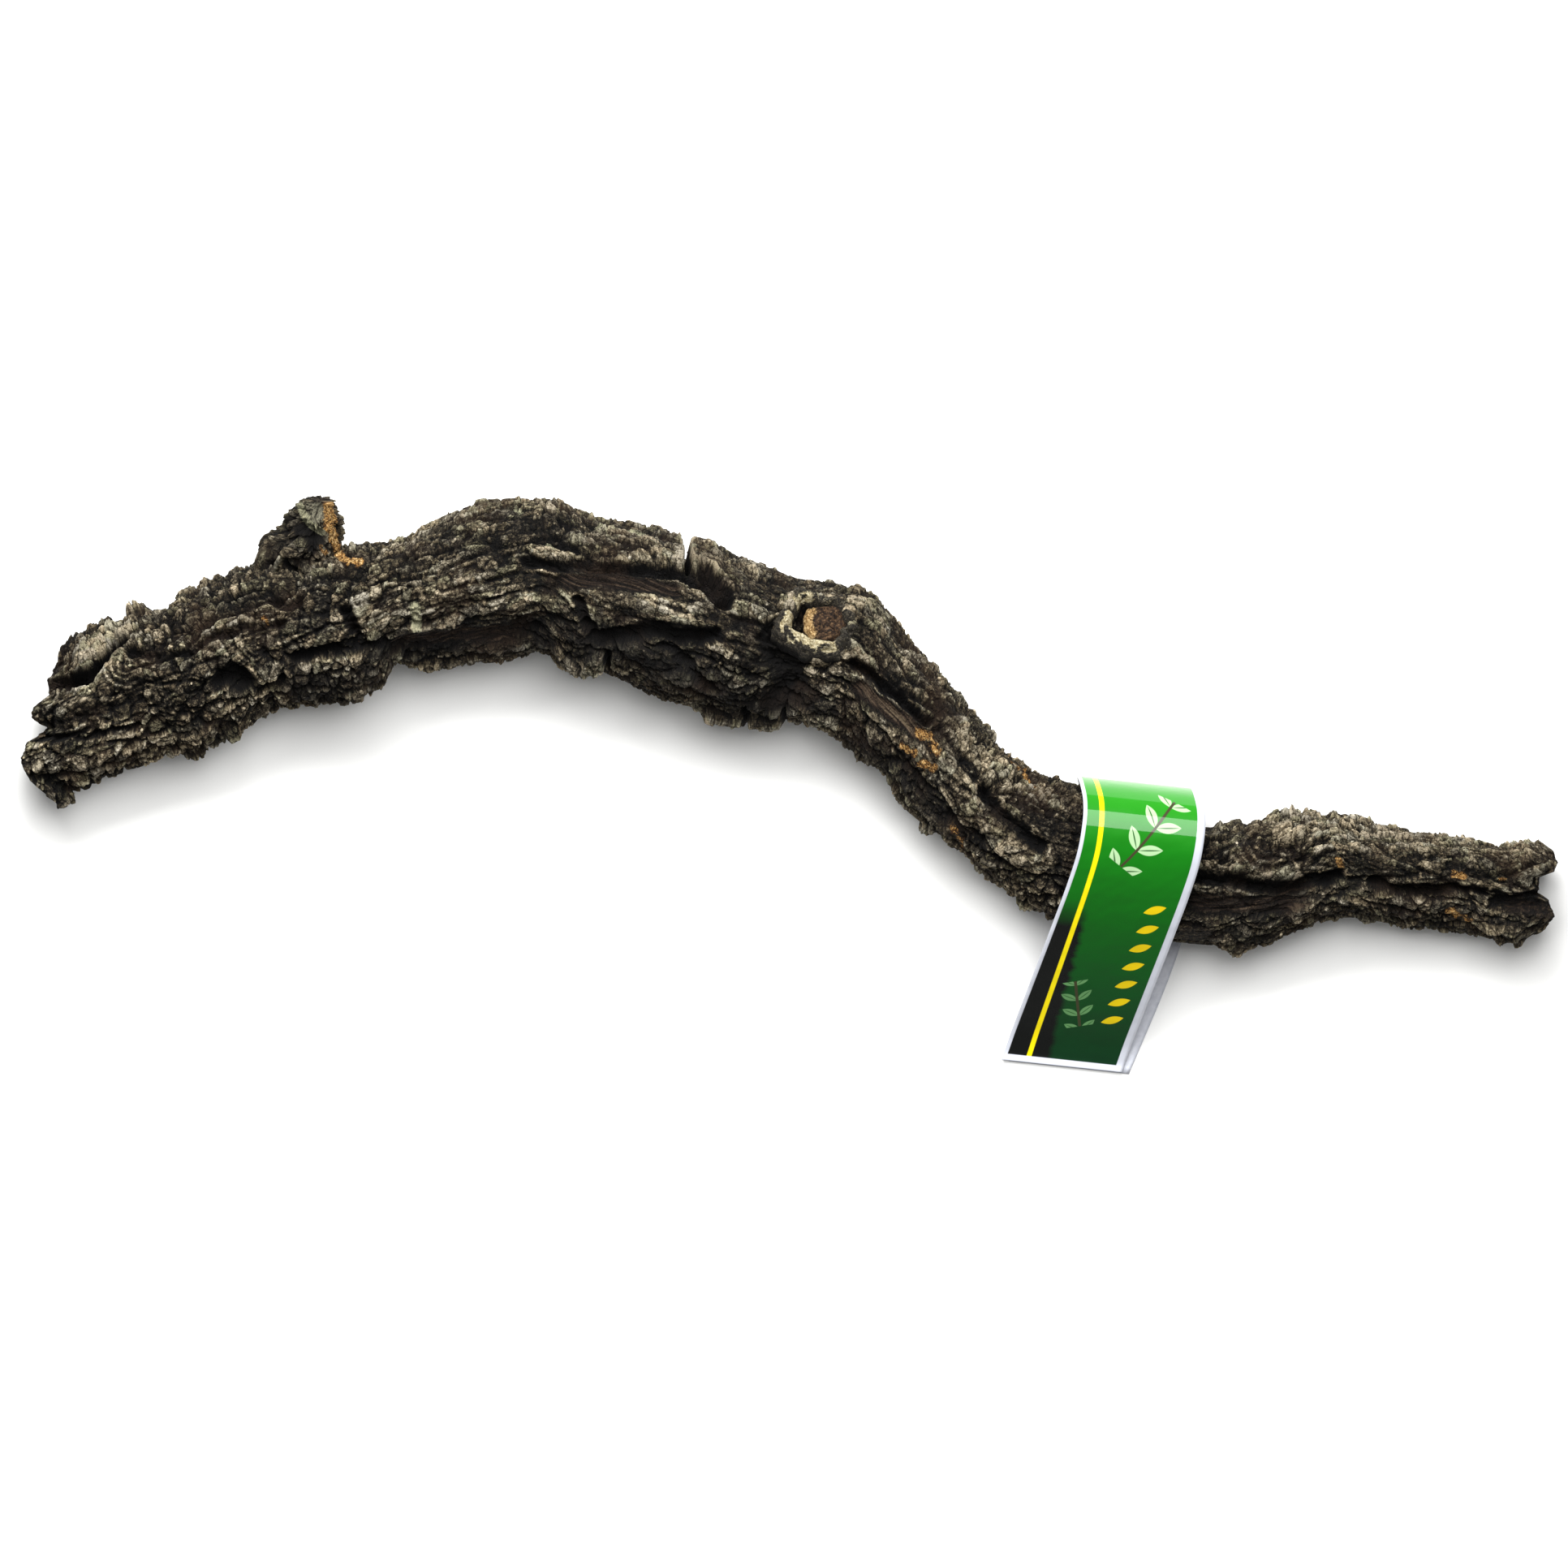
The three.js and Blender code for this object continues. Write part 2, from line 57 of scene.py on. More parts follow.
def plan_mm(px, py):
    """A pixel of the photograph as x and y in millimetres, in the frame of the part."""
    return (px - ORIGIN_PX[0]) * MM_PER_PX, (ORIGIN_PX[1] - py) * MM_PER_PX


camera_data = bpy.data.cameras.new("camera")
camera_data.lens = LENS_MM
camera_data.sensor_width = SENSOR_MM
camera = bpy.data.objects.new("camera", camera_data)
bpy.context.scene.collection.objects.link(camera)
bpy.context.scene.camera = camera
view_x, view_y = plan_mm(PHOTO_SIDE_PX / 2, PHOTO_SIDE_PX / 2)
view_width = PHOTO_SIDE_PX * MM_PER_PX
camera_height = OUTLINE_HEIGHT_MM + view_width * LENS_MM / SENSOR_MM
camera.location = (view_x / 1000, view_y / 1000, camera_height / 1000)
camera_data.clip_end = CLIP_END_M
bpy.context.scene.view_settings.view_transform = "Standard"


# Cork bark
# The branch is a stem of cork oak that grew as one piece and died: hard wood inside a thick, dead cork bark.
# The bark split along the stem as the stem swelled, then cracked across, and it parts in thin layers.

# Pairs of points across the branch from its thick end to its thin end: far edge x, y, then near edge x, y
EDGE_PAIRS_PX = np.array(
    [
        [64, 803, 78, 994],
        [90, 780, 118, 976],
        [122, 768, 160, 952],
        [156, 758, 198, 934],
        [186, 754, 238, 927],
        [212, 742, 266, 914],
        [246, 724, 302, 897],
        [280, 708, 335, 879],
        [318, 694, 368, 873],
        [358, 682, 402, 868],
        [402, 674, 440, 863],
        [445, 666, 470, 848],
        [490, 664, 493, 823],
        [532, 646, 536, 821],
        [582, 624, 586, 817],
        [640, 614, 640, 808],
        [668, 614, 664, 806],
        [692, 616, 686, 820],
        [718, 629, 706, 830],
        [748, 640, 730, 828],
        [792, 650, 764, 838],
        [840, 661, 810, 862],
        [886, 671, 858, 876],
        [936, 697, 905, 888],
        [985, 712, 950, 891],
        [1036, 719, 994, 892],
        [1085, 738, 1030, 904],
        [1120, 784, 1058, 930],
        [1150, 820, 1085, 952],
        [1182, 856, 1108, 986],
        [1216, 900, 1140, 1016],
        [1252, 936, 1180, 1052],
        [1292, 958, 1226, 1086],
        [1338, 966, 1282, 1122],
        [1386, 982, 1346, 1148],
        [1436, 1003, 1410, 1158],
        [1490, 1018, 1476, 1165],
        [1545, 1009, 1534, 1168],
        [1592, 1001, 1586, 1156],
        [1642, 998, 1646, 1131],
        [1692, 1015, 1694, 1130],
        [1742, 1020, 1742, 1143],
        [1800, 1026, 1800, 1147],
        [1846, 1032, 1846, 1161],
        [1878, 1033, 1876, 1163],
        [1900, 1036, 1898, 1152],
    ],
    dtype=float,
)
# Share of the way along the pairs, then the height of the branch and the clearance below it in mm
HEIGHTS_MM = np.array(
    [
        [0.0, 30, 5],
        [0.05, 44, 0],
        [0.14, 52, -1],
        [0.24, 56, 2],
        [0.34, 56, -1],
        [0.48, 58, 0],
        [0.58, 44, 5],
        [0.68, 43, 4],
        [0.76, 42, 3.5],
        [0.86, 36, 1],
        [0.96, 36, -1],
        [1.0, 30, 2],
    ]
)
# Outlines of the two broken ends, from the far edge to the near edge: y, then x
END_REACH_MM = 32
THICK_END_PX = np.array(
    [
        [798, 72],
        [815, 75],
        [838, 64],
        [856, 64],
        [872, 42],
        [884, 42],
        [897, 58],
        [913, 35],
        [940, 22],
        [962, 32],
        [990, 62],
    ],
    dtype=float,
)
THIN_END_PX = np.array(
    [
        [1036, 1898],
        [1046, 1911],
        [1062, 1918],
        [1074, 1915],
        [1081, 1897],
        [1100, 1896],
        [1109, 1908],
        [1130, 1914],
        [1148, 1905],
        [1158, 1892],
    ],
    dtype=float,
)
# Furrows, breaks and hollows: width and depth in mm, then a path of pixels. None goes deeper than the
# deepest, so one that is stated deeper has steep walls and a flat floor.
DEEPEST_FURROW_MM = 15
FURROWS = [
    (9.5, 32, [(50, 842), (76, 840), (108, 828)]),
    (7.5, 30, [(106, 828), (124, 811)]),
    (5.5, 24, [(122, 811), (142, 796)]),
    (4, 14, [(140, 797), (158, 788)]),
    (5, 6, [(44, 898), (80, 911), (130, 905), (172, 898)]),
    (6, 4.5, [(165, 802), (200, 812), (238, 802), (275, 780), (312, 776), (350, 768)]),
    (11, 8, [(278, 838), (292, 834), (304, 846)]),
    (6, 4, [(304, 848), (330, 850), (352, 842)]),
    (6, 5, [(340, 738), (356, 748), (372, 742)]),
    (6, 7, [(431, 752), (440, 775), (446, 794)]),
    (7, 6, [(372, 814), (420, 803), (462, 800), (492, 797)]),
    (16, 5, [(492, 806), (540, 796), (600, 792), (655, 790)]),
    (7, 6, [(652, 692), (692, 698), (732, 699), (772, 703), (806, 703), (845, 704)]),
    (11, 4, [(700, 716), (760, 718), (830, 722)]),
    (8, 8, [(850, 706), (866, 716), (880, 724)]),
    (10, 13, [(872, 704), (884, 722), (892, 740)]),
    (6, 7, [(712, 744), (722, 764), (730, 782)]),
    (9, 7, [(738, 792), (776, 786), (806, 778), (836, 786), (880, 784)]),
    (7, 4, [(822, 798), (846, 822), (872, 850)]),
    (4, 7, [(748, 812), (750, 836)]),
    (4, 5, [(57, 898), (70, 903)]),
    (4, 5, [(918, 876), (919, 896)]),
    (4, 5, [(966, 880), (967, 900)]),
    (18, 8, [(958, 796), (972, 832), (962, 868)]),
    (5, 5, [(974, 753), (952, 768), (934, 790)]),
    (6, 9, [(1052, 820), (1078, 836), (1104, 854), (1124, 872), (1142, 888)]),
    (12, 4, [(1060, 850), (1096, 878), (1128, 900)]),
    (8, 6, [(1214, 976), (1238, 1008), (1262, 1030), (1280, 1044)]),
    (5, 4, [(1254, 952), (1276, 976), (1290, 1002)]),
    (14, 4, [(1112, 946), (1136, 980), (1156, 1006)]),
    (8, 8, [(1452, 1076), (1510, 1084), (1556, 1096), (1592, 1096), (1618, 1086), (1644, 1080)]),
    (14, 3.5, [(1470, 1114), (1530, 1120), (1580, 1116)]),
    (7, 7, [(1692, 1090), (1722, 1101), (1762, 1097), (1790, 1098)]),
    (5, 6, [(1800, 1098), (1830, 1098), (1862, 1106), (1908, 1104)]),
    (10, 6, [(1846, 1112), (1884, 1118)]),
]
# Ridges, lips and lumps that stand proud, in the same form
RIDGES = [
    (13, 3.5, [(72, 808), (100, 792), (126, 782), (156, 770)]),
    (9, 6.0, [(162, 757), (174, 753)]),
    (18, 5, [(46, 946), (60, 964), (78, 976)]),
    (5, 3, [(125, 765), (130, 764)]),
    (5, 3, [(249, 718), (255, 716)]),
    (6, 4, [(438, 658), (443, 658)]),
    (7, 3, [(186, 934), (196, 930)]),
    (7, 3, [(232, 930), (242, 926)]),
    (6, 3, [(286, 904), (292, 900)]),
    (10, 3.5, [(1054, 940), (1072, 948)]),
    (6, 4, [(1138, 1018), (1146, 1022)]),
    (7, 4, [(1256, 1114), (1266, 1118)]),
    (6, 3, [(1290, 1132), (1300, 1136)]),
    (8, 3, [(1484, 1028), (1500, 1018)]),
    (8, 3, [(1512, 1176), (1524, 1174)]),
    (8, 3, [(1560, 1172), (1572, 1168)]),
    (16, 3, [(56, 872), (100, 862), (150, 832), (190, 826)]),
    (14, 2.5, [(50, 944), (110, 932), (170, 916)]),
    (14, 3, [(470, 704), (540, 672), (610, 652), (670, 648)]),
    (18, 3, [(460, 760), (520, 738), (590, 730), (640, 742)]),
    (14, 3.5, [(720, 668), (780, 680), (832, 682)]),
    (11, 3.5, [(740, 736), (800, 744), (850, 760)]),
    (11, 5, [(690, 814), (716, 824), (736, 820)]),
    (9, 4, [(876, 884), (910, 890)]),
    (9, 4, [(930, 890), (958, 892)]),
    (20, 3, [(868, 684), (920, 740), (900, 800)]),
    (14, 4, [(1060, 752), (1100, 800), (1140, 850), (1180, 892)]),
    (10, 2.5, [(1180, 960), (1204, 1012), (1250, 1056)]),
    (12, 3, [(1500, 1040), (1550, 1068), (1586, 1070)]),
    (16, 3, [(1600, 1030), (1680, 1050), (1780, 1058), (1880, 1060)]),
    (10, 3, [(1600, 1130), (1640, 1112), (1672, 1108), (1700, 1118)]),
    (10, 3, [(1836, 1148), (1866, 1152)]),
    (6, 3, [(1848, 1160), (1856, 1163)]),
    (5, 3, [(1876, 1164), (1885, 1159)]),
]
# Slits that go right through the rim of the bark, in the same form
SLITS = [
    (4.2, 14, [(848, 652), (848, 674)]),
    (3.2, 14, [(848, 674), (850, 697)]),
]
# Lumps of the bark in two sizes
LUMP_HEIGHT_MM = 3.4
LUMP_LENGTH_MM = 17
LUMP_WIDTH_MM = 9
SMALL_LUMP_HEIGHT_MM = 1.5
SMALL_LUMP_LENGTH_MM = 7
SMALL_LUMP_WIDTH_MM = 6
# How far the edges of furrows, ridges and colours wander, and the size of their bends
TEAR_MM = 2.3
TEAR_BEND_MM = 7
# Length and width of the plates between furrows, of the strips that they split into, of the blocks that the
# bark is cut into where it is blocky, and of the scales on all of them
PLATE_MM = (34, 9)
SPLIT_MM = (15, 4.2)
BLOCK_MM = (6.2, 8.5)
SCALE_MM = (4.6, 2.9)
PLATE_GAP_MM = 2.4
SPLIT_GAP_MM = 0.9
SCALE_GAP_MM = 0.55
GRAIN_MM = 0.55
PATTERN_BEND_MM = 3.0
LAYER_MM = 1.1
# The bark is blocky up to the first x and less so until the second
BLOCKY_TO_PX = (430, 620)
# The branch gets lower towards its ends, over this share of its length
END_ROUNDING = 0.38
END_ROUNDING_SHARE = 0.036
# The x at which the plain branch ends, where it gets the outlines above
THICK_END_X_PX = 70
THIN_END_X_PX = 1899
# Rings along the skin and sides round it. The fine sides of the top reach past each edge by an angle in
# radians.
RINGS = 1236
TOP_SIDES = 200
BOTTOM_SIDES = 36
SIDES = TOP_SIDES + BOTTOM_SIDES
TOP_PAST_EDGE = 0.35
# The x at which the bark is parted in four pieces: in a furrow of the arch, at its open slit and under the
# card strip
ARCH_FURROW_PX = 440
SLIT_PX = 838
UNDER_STRIP_PX = 1400
# The card strip's own x, where the bark stays this much below its plain skin
STRIP_SPAN_PX = (1316, 1492)
STRIP_MARGIN_MM = 4
UNDER_STRIP_MM = 0.4
# Colour of the bark by place, in the same form with a strength in place of the depth: fresh cork where a
# flake came off, lichen, and the brown inner bark that shows where the cork is gone
FRESH_CORK = [
    (6, 1.5, [(411, 664), (424, 688), (447, 691)]),
    (3.5, 1.1, [(329, 761), (333, 770)]),
    (7, 1.3, [(1132, 904), (1144, 910)]),
    (6, 1.1, [(1112, 924), (1122, 928)]),
    (6, 1.1, [(1146, 917), (1153, 928)]),
    (6, 1.2, [(1136, 942), (1149, 948)]),
    (6, 0.85, [(1245, 932), (1262, 948), (1280, 966)]),
    (6, 0.85, [(1172, 1020), (1182, 1046)]),
    (4, 1.3, [(1648, 1058), (1651, 1068)]),
    (5, 1.3, [(1788, 1078), (1800, 1080)]),
    (3, 1.2, [(1850, 1080), (1860, 1080)]),
    (4, 1.2, [(1911, 1060), (1914, 1070)]),
    (7, 1.3, [(1786, 1128), (1798, 1136), (1808, 1142)]),
]
LICHEN = [
    (6, 0.9, [(515, 750), (517, 778)]),
    (4, 0.8, [(638, 624), (642, 628)]),
    (5, 0.7, [(678, 672), (684, 676)]),
    (9, 0.75, [(740, 648), (770, 652), (800, 660)]),
    (4, 0.6, [(274, 806), (280, 804)]),
]
INNER_BARK = [
    (10, 0.9, [(700, 714), (760, 716), (838, 722)]),
    (15, 0.9, [(500, 798), (560, 794), (620, 790)]),
    (11, 1.35, [(1060, 850), (1096, 878), (1128, 900)]),
    (15, 0.8, [(1480, 1114), (1540, 1118), (1600, 1112)]),
    (10, 0.8, [(1864, 1120), (1908, 1132)]),
]
# Paler bark: partly bark that sun and dust have bleached, partly painted light on top edges that catch the
# light and on slopes turned away from it
PALE_BARK_AND_PAINTED_LIGHT = [
    (28, 1.3, [(455, 765), (510, 742), (570, 728), (625, 738)]),
    (32, 2.6, [(1590, 1008), (1690, 1020), (1780, 1030), (1890, 1044)]),
    (17, 2.2, [(1066, 748), (1095, 776), (1124, 812)]),
    (15, 1.1, [(890, 676), (912, 688), (932, 700)]),
    (14, 2.2, [(1190, 912), (1240, 950), (1284, 970)]),
    (12, 0.9, [(168, 762), (198, 748), (222, 738)]),
    (13, 0.9, [(496, 668), (560, 640), (620, 624), (680, 624)]),
    (12, 0.8, [(1450, 1020), (1500, 1030), (1560, 1020)]),
    (10, 1.0, [(36, 946), (54, 966), (74, 982)]),
    (15, 1.9, [(70, 808), (90, 796), (116, 786), (150, 777)]),
    (11, 0.8, [(230, 795), (300, 788)]),
    (9, 0.8, [(286, 880), (296, 876)]),
    (9, 0.7, [(324, 868), (334, 872)]),
    (10, 0.6, [(1095, 770), (1160, 850)]),
    (14, 0.6, [(55, 945), (110, 930)]),
    (12, 0.7, [(1190, 990), (1215, 1040), (1260, 1070)]),
    (10, 0.8, [(1036, 728), (1072, 742)]),
    (12, 0.5, [(1600, 1130), (1640, 1112), (1672, 1108)]),
    (13, 1.0, [(720, 650), (800, 666)]),
    (13, 1.8, [(1160, 938), (1180, 962), (1206, 976)]),
    (13, 1.5, [(1048, 766), (1070, 790), (1088, 808)]),
    (17, 1.5, [(1594, 998), (1640, 1000), (1706, 1006)]),
    (13, 1.2, [(1826, 1018), (1864, 1022)]),
    (13, 0.9, [(1600, 1068), (1650, 1076)]),
    (12, 1.0, [(150, 738), (182, 724)]),
    (12, 0.9, [(640, 616), (704, 612)]),
]
# Painted shade: bark darkened where shade falls, on the undersides, the lower edges and the walls of hollows
# and slits
PAINTED_SHADE_BARK = [
    (30, 1.1, [(492, 808), (540, 800), (600, 798), (655, 802)]),
    (28, 0.85, [(376, 846), (430, 850), (470, 835)]),
    (26, 1.0, [(940, 800), (962, 840), (985, 868)]),
    (24, 0.75, [(1050, 925), (1110, 970), (1160, 1012)]),
    (12, 1.5, [(50, 842), (80, 840), (108, 826)]),
    (8, 1.4, [(106, 828), (124, 811), (156, 789)]),
    (30, 1.25, [(735, 796), (790, 812), (850, 836), (900, 866), (950, 876)]),
    (30, 0.45, [(290, 706), (330, 700), (390, 706)]),
    (14, 0.6, [(830, 664), (860, 690)]),
    (22, 0.8, [(750, 836), (796, 846), (832, 856)]),
    (13, 1.1, [(868, 702), (886, 724), (892, 738)]),
    (14, 0.8, [(282, 838), (304, 850)]),
    (16, 0.5, [(1500, 1085), (1600, 1092)]),
    (16, 0.5, [(1470, 1150), (1560, 1165)]),
]
# The knot: its middle, and how far round it and how deep the bark is sunk for the callus and the wood that
# fill it. The bark is sunk further out where the callus is bare, and swells round both.
KNOT_PX = (1010, 766)
KNOT_SUNK_MM = 9.8
KNOT_SUNK_BARE_MM = 3.0
KNOT_DEPTH_MM = 13
KNOT_SWELL_MM = 2.2
KNOT_SWELL_REACH_MM = (13, 20)
# Places where the layers of the bark curl round a point: the point, the way the ribs lie from it in degrees
# anticlockwise from the right of the picture, how far they reach, how far apart they are and how high
CURLS = [
    ((162, 816), 215, 13, 2.4, 1.0),
    ((226, 876), 160, 9, 2.3, 0.6),
    ((318, 800), 250, 8, 2.3, 0.6),
    ((340, 700), 200, 9, 2.4, 0.6),
    ((760, 776), 200, 9, 2.4, 0.6),
    ((1560, 1040), 210, 17, 4.0, 1.0),
    ((1700, 1052), 250, 9, 2.4, 0.5),
]


def smooth_step(value, low, high):
    """0 below low, 1 above high and an S-curve in between."""
    t = np.clip((value - low) / (high - low), 0, 1)
    return t * t * (3 - 2 * t)


def corner_value(i, j, k):
    """A value from 0 to 1 that looks random, for each corner of a cubic grid."""
    h = (i * 374761393 + j * 668265263 + k * 974711) & 0xFFFFFFFF
    h = ((h ^ (h >> 13)) * 1274126177) & 0xFFFFFFFF
    return (h ^ (h >> 16)) / 2.0**32


def smooth_noise(x, y, z):
    """The corner values, blended smoothly in between."""
    x, y, z = np.broadcast_arrays(x, y, z)
    i, j, k = (np.floor(c).astype(np.int64) for c in (x, y, z))
    u, v, w = (t * t * (3 - 2 * t) for t in (x - i, y - j, z - k))
    total = np.zeros(x.shape)
    for a in (0, 1):
        for b in (0, 1):
            for c in (0, 1):
                weight = (u if a else 1 - u) * (v if b else 1 - v) * (w if c else 1 - w)
                total += weight * corner_value(i + a, j + b, k + c)
    return total


def rough_noise(x, y, z, layers=3):
    """Smooth noise in several sizes, each half the size and half the height of the last, about 0."""
    total = np.zeros(np.broadcast(x, y, z).shape)
    for layer in range(layers):
        size = 2.0**layer
        total += (smooth_noise(x * size + 31 * layer, y * size, z * size - 17 * layer) - 0.5) / size
    return total


def plates(x, y, z):
    """Irregular plates on a cubic grid: how far from a plate's edge and middle, its value and its slant."""
    i, j, k = (np.floor(c).astype(np.int64) for c in (x, y, z))
    nearest = np.full(x.shape, 1e9)
    second = np.full(x.shape, 1e9)
    own = np.zeros(x.shape)
    slant = np.zeros(x.shape)
    for a in (-1, 0, 1):
        for b in (-1, 0, 1):
            for c in (-1, 0, 1):
                ci, cj, ck = i + a, j + b, k + c
                value = corner_value(ci, cj, ck + 333)
                off_x = x - ci - corner_value(ci, cj, ck)
                off_y = y - cj - corner_value(ci + 911, cj, ck)
                off_z = z - ck - corner_value(ci, cj + 577, ck)
                away = off_x**2 + off_y**2 + off_z**2
                closer = away < nearest
                second = np.where(closer, nearest, np.minimum(second, away))
                own = np.where(closer, value, own)
                turn = value * 40
                slant = np.where(closer, off_x * np.cos(turn) + (off_y + off_z) * np.sin(turn), slant)
                nearest = np.where(closer, away, nearest)
    return np.sqrt(second) - np.sqrt(nearest), np.sqrt(nearest), own, slant


def curve_through(points, shares):
    """Points of a smooth curve through the given ones, at shares from 0 to 1 of their count."""
    points = np.asarray(points, dtype=float)
    first = 2 * points[0] - points[1]
    last = 2 * points[-1] - points[-2]
    padded = np.vstack([first, points, last])
    place = np.clip(np.asarray(shares), 0, 1) * (len(points) - 1)
    index = np.minimum(np.floor(place).astype(int), len(points) - 2)
    t = (place - index)[:, None]
    before, start, end, after = (padded[index + n] for n in range(4))
    pull_start = (end - before) / 2
    pull_end = (after - start) / 2
    bend = -3 * start + 3 * end - 2 * pull_start - pull_end
    twist = 2 * start - 2 * end + pull_start + pull_end
    return start + pull_start * t + bend * t**2 + twist * t**3


def heights_at(shares):
    """Height and clearance, read smoothly between the rows of the table."""
    upper = np.clip(np.searchsorted(HEIGHTS_MM[:, 0], shares), 1, len(HEIGHTS_MM) - 1)
    low = HEIGHTS_MM[upper - 1]
    high = HEIGHTS_MM[upper]
    t = smooth_step(shares, low[:, 0], high[:, 0])[:, None]
    return low[:, 1:] + (high[:, 1:] - low[:, 1:]) * t


def sections_at(shares):
    """Middle, half the width as a vector towards the far edge, and half the height of the plain branch."""
    shares = np.atleast_1d(shares)
    far = curve_through(np.stack(plan_mm(EDGE_PAIRS_PX[:, 0], EDGE_PAIRS_PX[:, 1]), axis=1), shares)
    near = curve_through(np.stack(plan_mm(EDGE_PAIRS_PX[:, 2], EDGE_PAIRS_PX[:, 3]), axis=1), shares)
    height, clearance = heights_at(shares).T
    middle = np.column_stack([(far + near) / 2, clearance + height / 2])
    across = np.column_stack([(far - near) / 2, np.zeros(len(shares))])
    from_end = np.clip(np.minimum(shares, 1 - shares) / END_ROUNDING_SHARE, 0, 1)
    return middle, across, height / 2 * (1 - END_ROUNDING * (1 - from_end) ** 2)


def skin_points(middle, across, half_height, angles):
    """Points of the plain skin and the ways out of it. Angle 0 is the far edge and a right angle the top."""
    cos, sin = np.cos(angles), np.sin(angles)
    points = middle[:, None] + across[:, None] * cos[None, :, None]
    points[:, :, 2] += half_height[:, None] * sin[None]
    outward = across[:, None] * (cos[None] / np.sum(across**2, axis=1)[:, None])[:, :, None]
    outward[:, :, 2] = sin[None] / half_height[:, None]
    return points, outward / np.linalg.norm(outward, axis=2, keepdims=True)


SEARCH_SHARES = np.linspace(0, 1, 401)
search_middle, search_across, search_half_height = sections_at(SEARCH_SHARES)


def lifted(path):
    """Pixels of a path, lifted onto the upper side of the plain branch."""
    found = []
    for px, py in path:
        x, y = plan_mm(px, py)
        at = np.argmin(np.hypot(search_middle[:, 0] - x, search_middle[:, 1] - y))
        middle, across, half_height = search_middle[at], search_across[at], search_half_height[at]
        offset = ((x - middle[0]) * across[0] + (y - middle[1]) * across[1]) / np.dot(across, across)
        rise = half_height * math.sqrt(max(0, 1 - offset * offset))
        found.append((x, y, middle[2] + rise))
    return np.array(found)


def distance_to_path(points, path, limit):
    """How far each point is from a path of straight pieces, or limit where it is farther."""
    away = np.full(len(points), float(limit))
    for start, end in zip(path[:-1], path[1:]):
        low = np.minimum(start, end) - limit
        high = np.maximum(start, end) + limit
        near = np.where(np.all((points > low) & (points < high), axis=1))[0]
        if len(near) == 0:
            continue
        step = end - start
        offset = points[near] - start
        t = np.clip(offset @ step / (step @ step), 0, 1)
        gap = np.linalg.norm(offset - t[:, None] * step, axis=1)
        away[near] = np.minimum(away[near], gap)
    return away


def stroke_fade(points, path, width):
    """1 on a path, fading to 0 a little past half the stroke's width."""
    away = distance_to_path(points, path, width * 0.6)
    return 1 - smooth_step(away / (width / 2), 0.25, 1.15)


def stroke_reach(strokes, points):
    """How strong a set of strokes is at each point. Each is strongest on its path along the bark."""
    reach = np.zeros(len(points))
    for width, depth, path in strokes:
        reach = np.maximum(reach, depth * stroke_fade(points, lifted(path), width))
    return reach


def reach_from_above(strokes, points):
    """How strong a set of strokes is at each point, where only their places seen from above count."""
    reach = np.zeros(len(points))
    for width, depth, path in strokes:
        plan = np.array([plan_mm(px, py) for px, py in path])
        reach = np.maximum(reach, depth * stroke_fade(points[:, :2], plan, width))
    return reach


def read_outline(outline, y_mm):
    """The x of an end's outline at each y, both in millimetres."""
    x, y = plan_mm(outline[:, 1], outline[:, 0])
    return np.interp(-y_mm, -y, x)


# Evenly spaced rings along the branch
fine_shares = np.linspace(0, 1, 601)
fine_middle = sections_at(fine_shares)[0]
fine_length = np.concatenate([[0], np.cumsum(np.linalg.norm(np.diff(fine_middle, axis=0), axis=1))])
branch_length = fine_length[-1]
ring_along = np.linspace(0, branch_length, RINGS)
ring_share = np.interp(ring_along, fine_length, fine_shares)
side_angle = np.concatenate(
    [
        -TOP_PAST_EDGE + np.arange(TOP_SIDES) / TOP_SIDES * (math.pi + 2 * TOP_PAST_EDGE),
        math.pi + TOP_PAST_EDGE + np.arange(BOTTOM_SIDES) / BOTTOM_SIDES * (math.pi - 2 * TOP_PAST_EDGE),
    ]
)
middle, across, half_height = sections_at(ring_share)
plain, outward = skin_points(middle, across, half_height, side_angle)
flat = plain.reshape(-1, 3)

# Each end stands out to its own outline, and the pattern of the bark goes with it
thick_x = plan_mm(THICK_END_X_PX, 0)[0]
thin_x = plan_mm(THIN_END_X_PX, 0)[0]
thick_end = (1 - smooth_step(ring_along, 0, END_REACH_MM))[:, None]
thin_end = smooth_step(ring_along, branch_length - END_REACH_MM / 2, branch_length)[:, None]
end_shift = thick_end * (read_outline(THICK_END_PX, plain[:, :, 1]) - thick_x)
end_shift += thin_end * (read_outline(THIN_END_PX, plain[:, :, 1]) - thin_x)

# Place on the bark, which its pattern follows: along the stem, then across it sideways and upwards, in mm
along = np.repeat(ring_along, SIDES) + end_shift.ravel()
sideways = flat[:, 1] - np.repeat(middle[:, 1], SIDES)
upwards = flat[:, 2] - np.repeat(middle[:, 2], SIDES)

# Main relief, the same as in the solid, with torn edges in place of smooth ones
lumps = smooth_noise(
    along / LUMP_LENGTH_MM, sideways / LUMP_WIDTH_MM + 20, upwards / LUMP_WIDTH_MM + 40
)
lumps -= 0.5
small_lumps = smooth_noise(
    along / SMALL_LUMP_LENGTH_MM + 60, sideways / SMALL_LUMP_WIDTH_MM, upwards / SMALL_LUMP_WIDTH_MM
)
small_lumps -= 0.5
wander = np.column_stack([rough_noise(*(flat / TEAR_BEND_MM + (shift, 0, 0)).T, 4) for shift in (0, 40, 80)])
torn = flat + TEAR_MM * wander
furrow_depth = np.minimum(stroke_reach(FURROWS, torn), DEEPEST_FURROW_MM)
furrow_depth = np.maximum(furrow_depth, reach_from_above(SLITS, torn))
ridge_height = stroke_reach(RIDGES, torn)
main_relief = LUMP_HEIGHT_MM * lumps + SMALL_LUMP_HEIGHT_MM * small_lumps + ridge_height - furrow_depth


